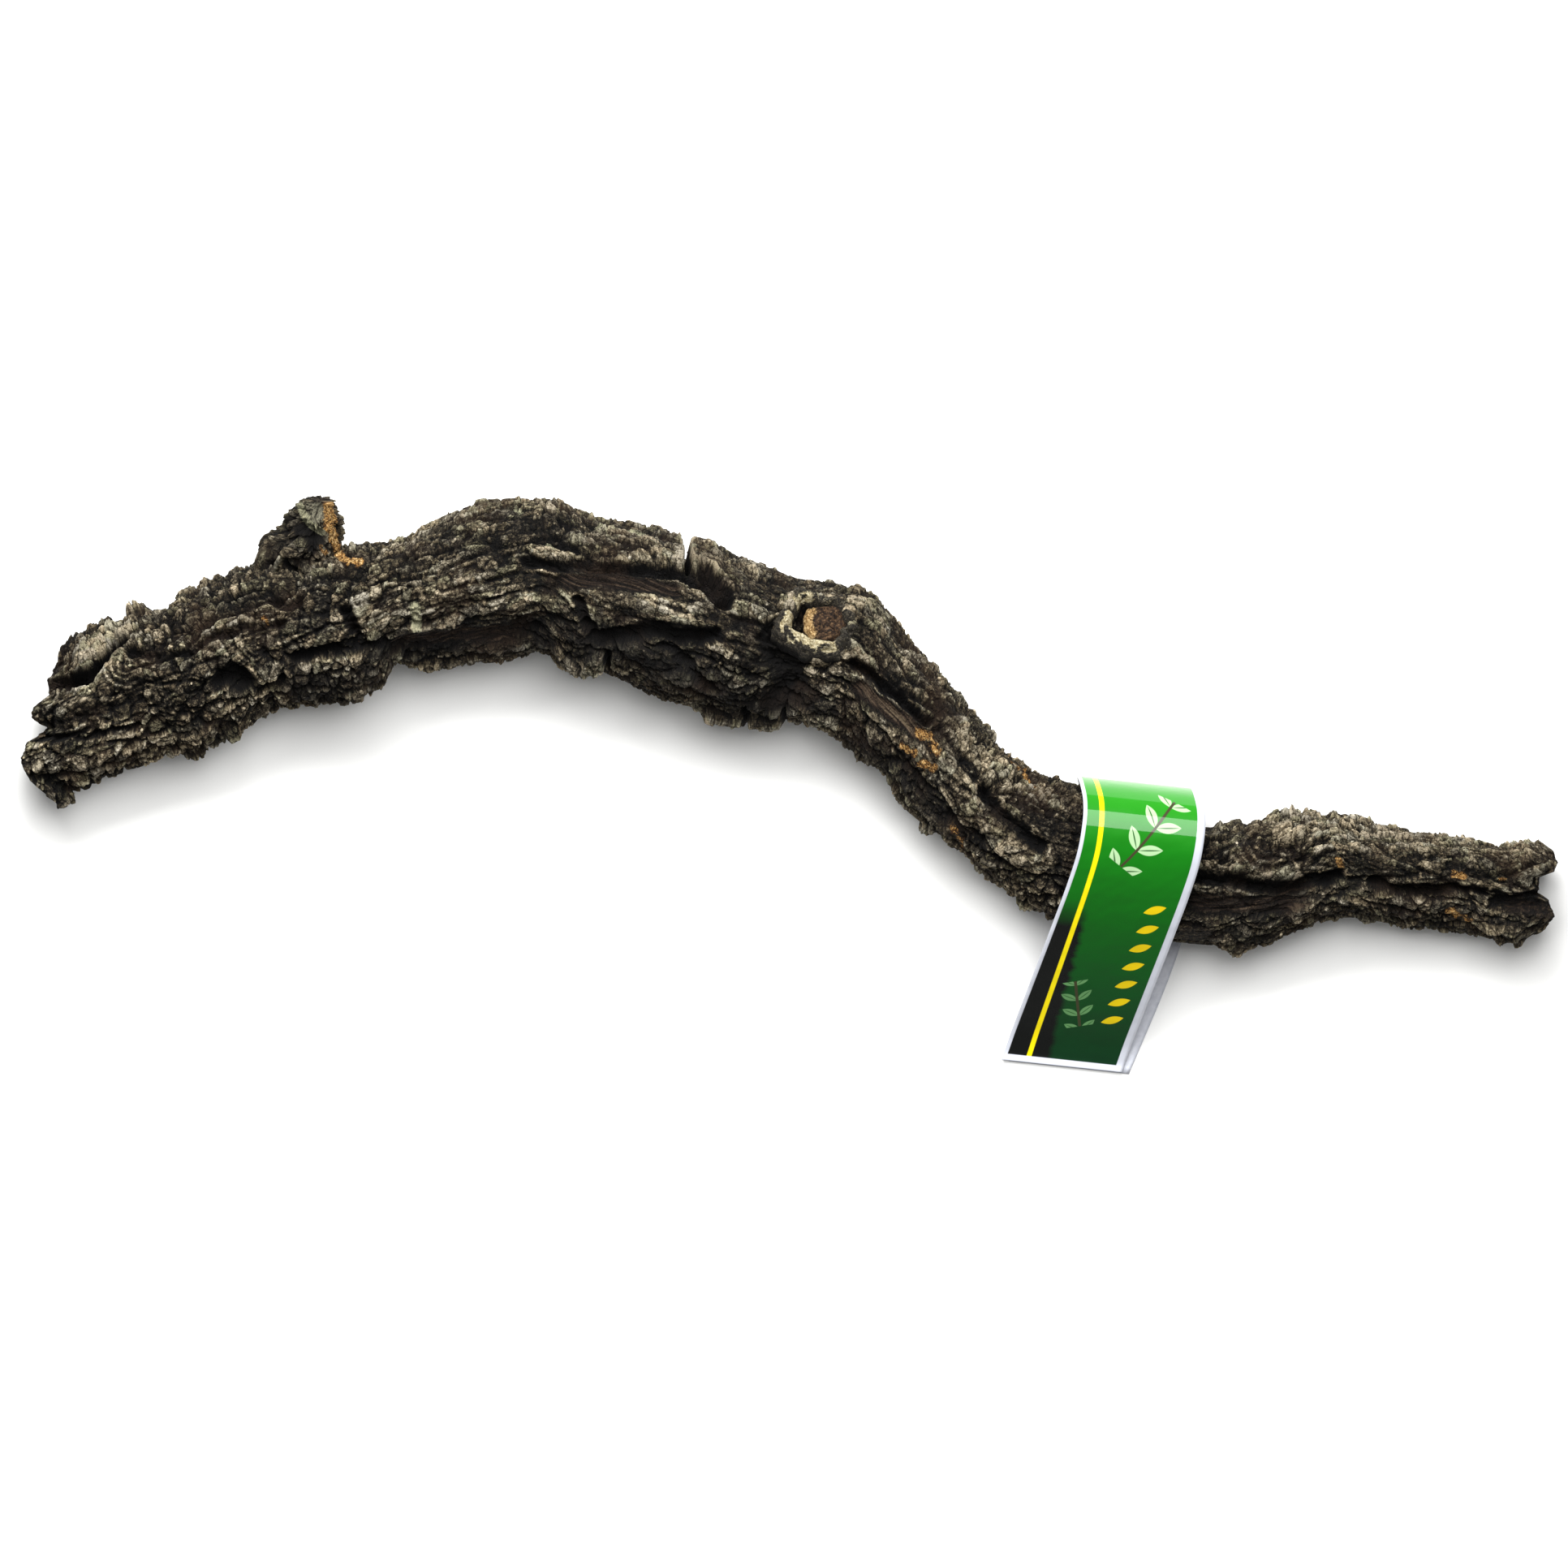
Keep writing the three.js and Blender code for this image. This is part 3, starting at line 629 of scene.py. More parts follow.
def bark_detail(along, sideways, upwards, blocky):
    """The height of the bark's pattern in mm, and a tone and a hue from 0 to 1 for each scale.

    Long plates with furrows between them are split into strips, cut across into blocks where the bark is
    blocky, and broken into small scales, with grain on top.
    """
    warp_a = PATTERN_BEND_MM * rough_noise(along / 13, sideways / 9 + 5, upwards / 9, 3)
    warp_b = PATTERN_BEND_MM * rough_noise(along / 13 + 50, sideways / 9, upwards / 9 + 9, 3)
    plate_edge, _, plate_own, _ = plates(
        along / PLATE_MM[0] + warp_a / 8, (sideways + warp_a) / PLATE_MM[1], (upwards + warp_b) / PLATE_MM[1]
    )
    strip_edge, _, strip_own, strip_slant = plates(
        along / SPLIT_MM[0] + warp_b / 6,
        (sideways + 1.3 * warp_b) / SPLIT_MM[1],
        (upwards + 1.3 * warp_a) / SPLIT_MM[1],
    )
    block_edge, block_middle, block_own, block_slant = plates(
        (along + warp_b) / BLOCK_MM[0], (sideways + warp_b) / BLOCK_MM[1], (upwards + warp_a) / BLOCK_MM[1]
    )
    scale_edge, _, scale_own, scale_slant = plates(
        (along + 1.5 * warp_a) / SCALE_MM[0],
        (sideways + 1.2 * warp_b) / SCALE_MM[1],
        (upwards + 1.2 * warp_a) / SCALE_MM[1],
    )
    furrows = PLATE_GAP_MM * (1 - smooth_step(plate_edge, 0.0, 0.22))
    furrows += SPLIT_GAP_MM * (1 - smooth_step(strip_edge, 0.0, 0.22))
    cracks = (0.4 + 1.4 * blocky) * (1 - smooth_step(block_edge, 0.0, 0.13))
    small_cracks = SCALE_GAP_MM * (1 - smooth_step(scale_edge, 0.0, 0.2))
    pillow = (0.1 + 0.5 * blocky) * smooth_step(block_edge, 0.0, 0.45)
    ribs = 0.3 * blocky * smooth_step(block_own, 0.3, 0.6) * np.sin(block_middle * 24 + 9 * block_own)
    steps = 1.5 * (plate_own - 0.5) + 1.1 * (strip_own - 0.5) + 0.9 * blocky * (block_own - 0.5)
    steps += 0.7 * (scale_own - 0.5)
    slants = (0.3 + 1.3 * blocky) * block_slant + 0.5 * strip_slant + 0.7 * scale_slant
    grain = GRAIN_MM * rough_noise(along / 2.2, sideways / 1.3, upwards / 1.3, 2)
    height = steps + pillow + slants + ribs - furrows - cracks - small_cracks + grain
    tone = 0.3 * plate_own + 0.25 * strip_own + 0.2 * block_own + 0.25 * scale_own
    hue = (block_own * 7.3 + strip_own * 3.1) % 1
    return height, tone, hue


def in_layers(height, along, sideways, upwards):
    """The same height in fine steps, as cork grows in thin layers, which end one by one on each slope."""
    place = height / LAYER_MM + 1.6 * rough_noise(along / 11, sideways / 8, upwards / 8, 2)
    base = np.floor(place)
    return height + 0.75 * LAYER_MM * (base + smooth_step(place - base, 0.25, 0.75) - place)


inner_strength = stroke_reach(INNER_BARK, torn)
inner_bark = np.minimum(1, inner_strength)
fibres = 1.4 * rough_noise(along / 26, sideways / 1.7, upwards / 1.7, 3)
left_part = 1 - smooth_step(flat[:, 0], *(plan_mm(px, 0)[0] for px in BLOCKY_TO_PX))
blocky_patches = rough_noise(flat[:, 0] / 45 + 7, flat[:, 1] / 30, flat[:, 2] / 30, 2)
blocky_patches = smooth_step(blocky_patches, -0.02, 0.14)
blocky = np.maximum(0.75 * left_part, 0.6 * blocky_patches)
detail, scale_tone, scale_hue = bark_detail(along, sideways, upwards, blocky)
fresh_cork = stroke_reach(FRESH_CORK, torn)
detail = detail * (1 - 0.8 * inner_bark) + fibres * inner_bark
detail = detail * (1 - 0.6 * np.minimum(1, fresh_cork)) - 0.8 * np.minimum(1, fresh_cork)
for (px, py), degrees, reach, spacing, height in CURLS:
    curl_seat = lifted([(px, py)])[0]
    curl_away = np.linalg.norm(torn - curl_seat, axis=1)
    turned = np.arctan2(torn[:, 1] - curl_seat[1], torn[:, 0] - curl_seat[0]) - math.radians(degrees)
    curl_fade = (1 - smooth_step(curl_away, reach * 0.75, reach)) * smooth_step(np.cos(turned), -0.1, 0.5)
    detail = detail * (1 - 0.6 * curl_fade) + height * curl_fade * np.cos(2 * math.pi * curl_away / spacing)
relief = in_layers(main_relief + detail, along, sideways, upwards)

# The bark is sunk round the knot, further where the callus is bare than where bark has grown over it
knot_seat = lifted([KNOT_PX])[0]
knot_at = np.argmin(np.hypot(search_middle[:, 0] - knot_seat[0], search_middle[:, 1] - knot_seat[1]))
knot_facing = knot_seat - search_middle[knot_at]
knot_facing /= np.linalg.norm(knot_facing)
knot_right = np.array([1.0, 0, 0]) - knot_facing * knot_facing[0]
knot_right /= np.linalg.norm(knot_right)
knot_up = np.cross(knot_facing, knot_right)


def bare_callus(degrees):
    """How bare the callus is, from 0 to 1, at an angle round the knot: 0 is to the right and 90 upwards."""
    top = smooth_step(degrees, 92, 110) * (1 - smooth_step(degrees, 144, 152))
    left_and_bottom = smooth_step(degrees, 164, 171) * (1 - smooth_step(degrees, 292, 310))
    faint_top = 0.5 * smooth_step(degrees, 40, 66) * (1 - smooth_step(degrees, 92, 110))
    return np.maximum(np.maximum(top, left_and_bottom), faint_top)


from_knot = flat - knot_seat
knot_away = np.linalg.norm(from_knot, axis=1)
knot_degrees = np.degrees(np.arctan2(from_knot @ knot_up, from_knot @ knot_right)) % 360
sunk_reach = KNOT_SUNK_MM + KNOT_SUNK_BARE_MM * bare_callus(knot_degrees) + 5 * wander[:, 0]
relief += KNOT_SWELL_MM * (1 - smooth_step(knot_away, *KNOT_SWELL_REACH_MM))
relief -= KNOT_DEPTH_MM * (1 - smooth_step(knot_away, sunk_reach - 2.0, sunk_reach + 1.2))

# Under the card strip the bark stays low, so that the strip lies on it
strip_left, strip_right = (plan_mm(px, 0)[0] for px in STRIP_SPAN_PX)
under_strip = smooth_step(flat[:, 0], strip_left - STRIP_MARGIN_MM, strip_left)
under_strip *= 1 - smooth_step(flat[:, 0], strip_right, strip_right + STRIP_MARGIN_MM)
lowered = np.minimum(relief, relief * (1 - under_strip) - UNDER_STRIP_MM)
relief = np.where(under_strip > 0, lowered, relief)


def ring_points(rows, amount, shrink, recess):
    """Finished rings of the bark, drawn in to the middle by shrink and set back at the ends by recess."""
    grown = plain[rows] + outward[rows] * amount.reshape(RINGS, SIDES)[rows][:, :, None]
    centre = middle[rows][:, None]
    placed = centre + (grown - centre) * shrink
    to_thick = read_outline(THICK_END_PX, placed[:, :, 1]) - thick_x + recess
    to_thin = read_outline(THIN_END_PX, placed[:, :, 1]) - thin_x - recess
    placed[:, :, 0] += thick_end[rows] * to_thick + thin_end[rows] * to_thin
    placed[:, :, 2] = np.maximum(0, placed[:, :, 2])
    return placed


# Each end shows the broken cork, a dark gap and the wood: share of the way out, and how far it is set back
END_PROFILE = np.array(
    [
        [0.0, 0.9],
        [0.3, 0.4],
        [0.48, 0.0],
        [0.6, 0.8],
        [0.66, 2.8],
        [0.73, 2.4],
        [0.8, 0.1],
        [0.9, -0.9],
        [0.97, -0.4],
        [1.0, 0.0],
    ]
)
END_WOOD_SHARE = 0.66
END_WOBBLE = 0.4
END_RINGS = 26
end_share = np.linspace(0.98, 0.04, END_RINGS)[:, None]


def end_cap(row):
    """The rings that close an end, from the rim to the middle, and the values their material reads."""
    cap_along = along.reshape(RINGS, SIDES)[row] + 0 * end_share
    cap_sideways = sideways.reshape(RINGS, SIDES)[row] * end_share
    cap_upwards = upwards.reshape(RINGS, SIDES)[row] * end_share
    height, tone, hue = bark_detail(cap_along, cap_sideways, cap_upwards, 0.8)
    wobble = rough_noise(cap_sideways / 8 + row, cap_upwards / 8, 5, 2)
    wood = smooth_step(END_WOOD_SHARE + END_WOBBLE * wobble - end_share, 0, 0.05)
    set_back = np.interp(end_share + END_WOBBLE * wobble, END_PROFILE[:, 0], END_PROFILE[:, 1])
    splinters = 2.2 * rough_noise(cap_sideways / 1.9, cap_upwards / 3.1, row, 3)
    rough = (0.7 * height * (1 - wood) + splinters * wood) * smooth_step(1 - end_share, 0, 0.12)
    depth = set_back - rough
    rim = np.array([row])
    cap = [ring_points(rim, relief, share[0], depth[n][None]) for n, share in enumerate(end_share)]
    values = {
        "bark_place": np.stack([cap_along + depth, cap_sideways, cap_upwards], axis=2),
        # Painted shade where the end is set back and in the low places of its breaks
        "cavity_mm": (0.9 * rough - 0.9 * np.maximum(0, set_back) + 0.2)[:, :, None],
        "scale_look": np.stack([tone, hue, 0 * hue], axis=2),
        "cut_wood": wood[:, :, None],
    }
    return np.vstack(cap), values


thick_cap, thick_values = end_cap(0)
thin_cap, thin_values = end_cap(RINGS - 1)
rings = np.vstack([thick_cap[::-1], ring_points(np.arange(RINGS), relief, 1, 0), thin_cap])


def ring_values(name, values):
    """Values at the bark's points, with those of the rings that close its two ends."""
    grid = np.asarray(values).reshape(RINGS, SIDES, -1)
    first = thick_values[name][::-1] if name in thick_values else np.repeat(grid[:1], END_RINGS, axis=0)
    last = thin_values[name] if name in thin_values else np.repeat(grid[-1:], END_RINGS, axis=0)
    return np.vstack([first, grid, last])


def tube_faces(count, sides):
    """Faces of a closed skin: rings joined side by side, with a point in the middle of each end."""
    ring = np.arange(count - 1)[:, None] * sides
    side = np.arange(sides)[None]
    following = (side + 1) % sides
    walls = np.stack(
        [ring + side, ring + following, ring + sides + following, ring + sides + side], axis=2
    ).reshape(-1, 4)
    first, last = count * sides, count * sides + 1
    end = (count - 1) * sides
    caps = [(first, int(b), int(a)) for a, b in zip(side[0], following[0])]
    caps += [(last, int(end + a), int(end + b)) for a, b in zip(side[0], following[0])]
    return walls.tolist() + caps


def blurred(values, reach):
    """Values averaged over reach rings and sides each way, all round the branch."""
    grid = values.reshape(RINGS, SIDES)
    total = np.zeros_like(grid)
    for shift in range(-reach, reach + 1):
        total += np.roll(grid, shift, axis=1)
    grid = total / (2 * reach + 1)
    stretched = np.pad(grid, ((reach, reach), (0, 0)), mode="edge")
    total = np.zeros_like(grid)
    for shift in range(2 * reach + 1):
        total += stretched[shift : shift + RINGS]
    return (total / (2 * reach + 1)).ravel()


def make_piece(name, points_mm, faces):
    """A smooth-shaded piece from points in millimetres."""
    mesh = bpy.data.meshes.new(name)
    mesh.from_pydata((np.asarray(points_mm) / 1000).tolist(), [], faces)
    mesh.shade_smooth()
    mesh.update()
    piece = bpy.data.objects.new(name, mesh)
    bpy.context.scene.collection.objects.link(piece)
    return piece


def give_values(piece, name, values):
    """A named value, or three, at each point of a piece, for its material to read."""
    values = np.asarray(values, dtype=np.float32)
    three = values.ndim == 2 and values.shape[1] == 3
    attribute = piece.data.attributes.new(name, "FLOAT_VECTOR" if three else "FLOAT", "POINT")
    attribute.data.foreach_set("vector" if three else "value", values.ravel())


def linear(hex_colour):
    """An sRGB hex colour as the linear red, green, blue and alpha that Blender works in."""
    parts = [int(hex_colour[i : i + 2], 16) / 255 for i in (1, 3, 5)]
    return [p / 12.92 if p <= 0.04045 else ((p + 0.055) / 1.055) ** 2.4 for p in parts] + [1]


def add_node(tree, kind, inputs=None, stops=(), **settings):
    """A node with its settings, and with its inputs set to values or linked to other nodes' outputs.

    The stops of a colour ramp are places from 0 to 1, each with a hex colour.
    """
    made = tree.nodes.new(kind)
    for setting, value in settings.items():
        setattr(made, setting, value)
    for key, value in (inputs or {}).items():
        if isinstance(value, bpy.types.NodeSocket):
            tree.links.new(value, made.inputs[key])
        else:
            made.inputs[key].default_value = value
    if stops:
        elements = made.color_ramp.elements
        elements.remove(elements[1])
        elements[0].position = stops[0][0]
        elements[0].color = linear(stops[0][1])
        for ramp_place, hex_colour in stops[1:]:
            elements.new(ramp_place).color = linear(hex_colour)
    return made


def make_material(name, numbers):
    """A material, its node tree and its shader, with the numbers of the shader's own sockets."""
    material = bpy.data.materials.new(name)
    material.use_nodes = True
    shader = material.node_tree.nodes["Principled BSDF"]
    for socket, number in numbers.items():
        shader.inputs[socket].default_value = number
    return material, material.node_tree, shader


# How sunk each point is, which darkens the cork as painted shade together with dirt in the crevices
cavity = relief - 0.5 * (blurred(relief, 6) + blurred(relief, 16)) - 0.35 * furrow_depth
cavity += 1.2 * (relief - blurred(relief, 2))
bark_values = {
    "bark_place": np.column_stack([along, sideways, upwards]),
    "relief_mm": relief,
    "cavity_mm": cavity,
    "fresh_cork": fresh_cork,
    "lichen": stroke_reach(LICHEN, flat),
    "inner_bark": inner_strength,
    "pale_bark_and_painted_light": stroke_reach(PALE_BARK_AND_PAINTED_LIGHT, torn),
    # Painted shade where shade falls on the bark
    "painted_shade_bark": stroke_reach(PAINTED_SHADE_BARK, torn),
    "scale_look": np.column_stack([scale_tone, scale_hue, 0 * scale_hue]),
    "cut_wood": np.zeros(len(flat)),
    "grey_wood": np.zeros(len(flat)),
}
bark_values = {name: ring_values(name, values) for name, values in bark_values.items()}


def make_tube(name, first, last):
    """The bark from one ring to another as a closed piece, whose two caps have rings of their own."""
    part = rings[first : last + 1]
    count = len(part) * SIDES
    faces = tube_faces(len(part), SIDES)
    walls = faces[: -2 * SIDES]
    caps = [
        tuple(p if p >= count else (p % SIDES) + count + 2 + (SIDES if p >= SIDES else 0) for p in face)
        for face in faces[-2 * SIDES :]
    ]
    middles = [part[0].mean(axis=0)[None], part[-1].mean(axis=0)[None]]
    tube = make_piece(name, np.vstack([part.reshape(-1, 3), *middles, part[0], part[-1]]), walls + caps)
    for value_name, grid in bark_values.items():
        chosen = grid[first : last + 1]
        whole = [chosen.reshape(-1, grid.shape[2]), chosen[0][:1], chosen[-1][:1], chosen[0], chosen[-1]]
        whole = np.vstack(whole)
        give_values(tube, value_name, whole if grid.shape[2] == 3 else whole[:, 0])
    return tube


def ring_at(px):
    """The ring whose middle is nearest to an x of the photograph."""
    return END_RINGS + int(np.argmin(np.abs(middle[:, 0] - plan_mm(px, 0)[0])))


arch_ring, slit_ring, strip_ring = (ring_at(px) for px in (ARCH_FURROW_PX, SLIT_PX, UNDER_STRIP_PX))
bark_pieces = [
    make_tube("bark_of_thick_end", 0, arch_ring),
    make_tube("bark_of_arch", arch_ring, slit_ring),
    make_tube("bark_round_knot", slit_ring, strip_ring),
    make_tube("bark_of_thin_end", strip_ring, len(rings) - 1),
]

# Weathered cork: dull, nearly black where it is deep from painted shade and dirt, greyish brown where
# it is worn, and pale on its crumbs and edges, partly as painted light where they stand proud
cork, tree, shader = make_material(
    "weathered cork bark", {"Roughness": 0.9, "IOR": 1.5, "Specular IOR Level": 0.2}
)
carried = {
    name: add_node(tree, "ShaderNodeAttribute", attribute_name=name).outputs for name in bark_values
}
place = carried["bark_place"]["Vector"]
scale_look = add_node(tree, "ShaderNodeSeparateXYZ", {0: carried["scale_look"]["Vector"]}).outputs

# Grain of the cork, 1 mm across and stretched along the stem, and a finer one
stretched_place = add_node(tree, "ShaderNodeMapping", {"Vector": place, "Scale": (0.55, 1, 1)}).outputs[0]
grain = add_node(
    tree, "ShaderNodeTexNoise", {"Vector": stretched_place, "Scale": 0.95, "Detail": 4, "Roughness": 0.75}
).outputs[0]
fine_grain = add_node(
    tree, "ShaderNodeTexNoise", {"Vector": place, "Scale": 1.7, "Detail": 3, "Roughness": 0.7}
).outputs[0]
# Cracks a hair wide, 3 mm apart
crack_bend = add_node(
    tree, "ShaderNodeTexNoise", {"Vector": place, "Scale": 0.35, "Detail": 3}
).outputs["Color"]
crack_place = add_node(
    tree,
    "ShaderNodeVectorMath",
    {0: crack_bend, 1: (4.5, 4.5, 4.5), 2: place},
    operation="MULTIPLY_ADD",
).outputs[0]
crack_gap = add_node(
    tree, "ShaderNodeTexVoronoi", {"Vector": crack_place, "Scale": 0.34}, feature="DISTANCE_TO_EDGE"
).outputs["Distance"]
crack = add_node(
    tree,
    "ShaderNodeMapRange",
    {"Value": crack_gap, "From Min": 0.0, "From Max": 0.13, "To Min": 1, "To Max": 0},
).outputs[0]
# Edges of the thin layers, which follow the relief like the lines of a map
layer_place = add_node(
    tree, "ShaderNodeMath", {0: grain, 1: 0.8, 2: carried["relief_mm"]["Fac"]}, operation="MULTIPLY_ADD"
).outputs[0]
layer_lines = add_node(
    tree, "ShaderNodeTexNoise", {"W": layer_place, "Scale": 1.9, "Detail": 2}, noise_dimensions="1D"
).outputs[0]

# How light the cork is: what is sunk gets painted shade and dirt, and grain, layers, cracks and scales add
# to it
shade = -1.565
for part, weight in (
    (carried["cavity_mm"]["Fac"], 0.14),
    (grain, 1.45),
    (fine_grain, 1.15),
    (layer_lines, 0.7),
    (crack, -0.25),
    (scale_look[0], 0.85),
    # paler bark, partly painted light
    (carried["pale_bark_and_painted_light"]["Fac"], 0.17),
):
    shade = add_node(
        tree, "ShaderNodeMath", {0: part, 1: weight, 2: shade}, operation="MULTIPLY_ADD"
    ).outputs[0]
shade = add_node(tree, "ShaderNodeMath", {0: shade, 1: 0.8}, operation="MULTIPLY").outputs[0]
colour = add_node(
    tree,
    "ShaderNodeValToRGB",
    {"Fac": shade},
    stops=[
        (0.0, "#040303"),
        (0.18, "#0D0B08"),
        (0.34, "#1F1B15"),
        (0.48, "#39342B"),
        (0.62, "#575144"),
        (0.73, "#716B5C"),
        (0.84, "#8E8777"),
        (1.0, "#B4AD9C"),
    ],
).outputs[0]
scale_tint = add_node(
    tree,
    "ShaderNodeValToRGB",
    {"Fac": scale_look[1]},
    stops=[(0.0, "#FFF8EA"), (0.3, "#FFEFD8"), (0.5, "#E9EBD2"), (0.7, "#FFFFFF"), (1.0, "#FBEEDC")],
).outputs[0]
colour = add_node(
    tree,
    "ShaderNodeMix",
    {"Factor": 0.8, 6: colour, 7: scale_tint},
    data_type="RGBA",
    blend_type="MULTIPLY",
).outputs[2]

# Painted shade on the bark where shade falls, and brown patches in the bark's own colour
painted_shade_share = add_node(
    tree, "ShaderNodeMath", {0: carried["painted_shade_bark"]["Fac"], 1: 0.7}, operation="MULTIPLY"
).outputs[0]
patches = add_node(tree, "ShaderNodeTexNoise", {"Vector": place, "Scale": 0.05, "Detail": 4}).outputs[0]
brown_share = add_node(
    tree, "ShaderNodeMapRange", {"Value": patches, "From Min": 0.5, "From Max": 0.75, "To Max": 0.45}
).outputs[0]

# Inner bark, dark brown with paler fibres
inner_value = carried["inner_bark"]["Fac"]
fibre_place = add_node(tree, "ShaderNodeMapping", {"Vector": place, "Scale": (0.05, 1, 1)}).outputs[0]
fibre_lines = add_node(
    tree, "ShaderNodeTexNoise", {"Vector": fibre_place, "Scale": 1.1, "Detail": 4}
).outputs[0]
fibre_shade = -0.27
for part, weight in ((fibre_lines, 1.0), (inner_value, 0.3)):
    fibre_shade = add_node(
        tree, "ShaderNodeMath", {0: part, 1: weight, 2: fibre_shade}, operation="MULTIPLY_ADD"
    ).outputs[0]
fibre_colour = add_node(
    tree,
    "ShaderNodeValToRGB",
    {"Fac": fibre_shade},
    stops=[(0.32, "#090605"), (0.5, "#211812"), (0.66, "#4B3D30"), (0.8, "#6E604C")],
).outputs[0]
torn_inner = add_node(
    tree, "ShaderNodeMath", {0: grain, 1: 1.2, 2: inner_value}, operation="MULTIPLY_ADD"
).outputs[0]
inner_share = add_node(
    tree, "ShaderNodeMapRange", {"Value": torn_inner, "From Min": 0.9, "From Max": 1.5, "To Max": 0.9}
).outputs[0]

# Lichen in grey-green flecks
flecks = add_node(
    tree, "ShaderNodeMath", {0: grain, 1: 1.6, 2: carried["lichen"]["Fac"]}, operation="MULTIPLY_ADD"
).outputs[0]
lichen_share = add_node(
    tree, "ShaderNodeMapRange", {"Value": flecks, "From Min": 1.15, "From Max": 1.6, "To Max": 0.75}
).outputs[0]

# Fresh cork, orange with pale crumbs
fresh_value = carried["fresh_cork"]["Fac"]
fresh_shade = -0.76
for part, weight in ((grain, 1.2), (fine_grain, 0.9), (fresh_value, 0.16)):
    fresh_shade = add_node(
        tree, "ShaderNodeMath", {0: part, 1: weight, 2: fresh_shade}, operation="MULTIPLY_ADD"
    ).outputs[0]
fresh = add_node(
    tree,
    "ShaderNodeValToRGB",
    {"Fac": fresh_shade},
    stops=[(0.34, "#2C1B0E"), (0.45, "#7A552B"), (0.58, "#B98F52"), (0.74, "#E2C693")],
).outputs[0]
breaks = add_node(tree, "ShaderNodeTexNoise", {"Vector": place, "Scale": 0.45, "Detail": 4}).outputs[0]
torn_fresh = add_node(
    tree, "ShaderNodeMath", {0: breaks, 1: 2.6, 2: fresh_value}, operation="MULTIPLY_ADD"
).outputs[0]
fresh_share = add_node(
    tree, "ShaderNodeMapRange", {"Value": torn_fresh, "From Min": 1.95, "From Max": 2.3}
).outputs[0]

# Wood in the middle of the two ends, greyish brown, and the broken face of the side shoot, weathered grey
cut_wood, grey_wood = (
    add_node(tree, "ShaderNodeValToRGB", {"Fac": grain}, stops=stops).outputs[0]
    for stops in (
        [(0.3, "#14100C"), (0.5, "#3A3025"), (0.7, "#75654E")],
        [(0.3, "#4A473B"), (0.5, "#827E6B"), (0.7, "#A8A28C")],
    )
)
# Each lies over those before it
for share, over in (
    # painted shade, nearly black
    (painted_shade_share, linear("#0C0A09")),
    (brown_share, linear("#3B2A1C")),
    (inner_share, fibre_colour),
    (lichen_share, linear("#A6A385")),
    (fresh_share, fresh),
    (carried["cut_wood"]["Fac"], cut_wood),
    (carried["grey_wood"]["Fac"], grey_wood),
):
    colour = add_node(
        tree, "ShaderNodeMix", {"Factor": share, 6: colour, 7: over}, data_type="RGBA"
    ).outputs[2]
tree.links.new(colour, shader.inputs["Base Color"])
bump_height = grain
for part, weight in ((layer_lines, 0.5), (crack, -0.6), (fine_grain, 0.6)):
    bump_height = add_node(
        tree, "ShaderNodeMath", {0: part, 1: weight, 2: bump_height}, operation="MULTIPLY_ADD"
    ).outputs[0]
bump = add_node(tree, "ShaderNodeBump", {"Height": bump_height, "Distance": 0.0013}).outputs[0]
tree.links.new(bump, shader.inputs["Normal"])
for bark in bark_pieces:
    bark.data.materials.append(cork)
    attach(bark, "root")
    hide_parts("branch")


# Bark crumbs
# Loose crumbs of cork cling to the upper side of the bark, thickest where it is blocky. They are scattered
# on a copy of the bark's upper skin by geometry nodes, and each takes the look of the bark under it.

CRUMBS_PER_SQUARE_METRE = 50000
CRUMB_RADII_M = (0.00035, 0.0009)
CRUMB_FLATNESS = (1.0, 0.75, 0.5)
CRUMB_SEED = 7
CRUMB_SPIN_RADIANS = 6.28
CRUMB_SPIN_SEED = 3
# A crumb stands out of the bark, so it gets as little painted shade as bark that much higher
CRUMB_PROUD_MM = 0.9
# Share of the crumbs that smooth bark keeps, and how far round the knot there are none
SMOOTH_BARK_CRUMBS = 0.35
KNOT_BARE_MM = (17, 19)

seat_rings = rings[END_RINGS : END_RINGS + RINGS, :TOP_SIDES]
ring = np.arange(RINGS - 1)[:, None] * TOP_SIDES
side = np.arange(TOP_SIDES - 1)[None]
seat_faces = np.stack(
    [ring + side, ring + side + 1, ring + TOP_SIDES + side + 1, ring + TOP_SIDES + side], axis=2
).reshape(-1, 4)
crumbs = make_piece("bark_crumbs", seat_rings.reshape(-1, 3), seat_faces.tolist())
for value_name, grid in bark_values.items():
    chosen = grid[END_RINGS : END_RINGS + RINGS, :TOP_SIDES].reshape(-1, grid.shape[2])
    if value_name == "cavity_mm":
        chosen = chosen + CRUMB_PROUD_MM
    give_values(crumbs, value_name, chosen if grid.shape[2] == 3 else chosen[:, 0])
bare = np.maximum(under_strip, 1 - smooth_step(knot_away, *KNOT_BARE_MM))
crumb_share = (SMOOTH_BARK_CRUMBS + (1 - SMOOTH_BARK_CRUMBS) * blocky) * (1 - bare) * (1 - inner_bark)
give_values(crumbs, "crumb_share", crumb_share.reshape(RINGS, SIDES)[:, :TOP_SIDES].ravel())

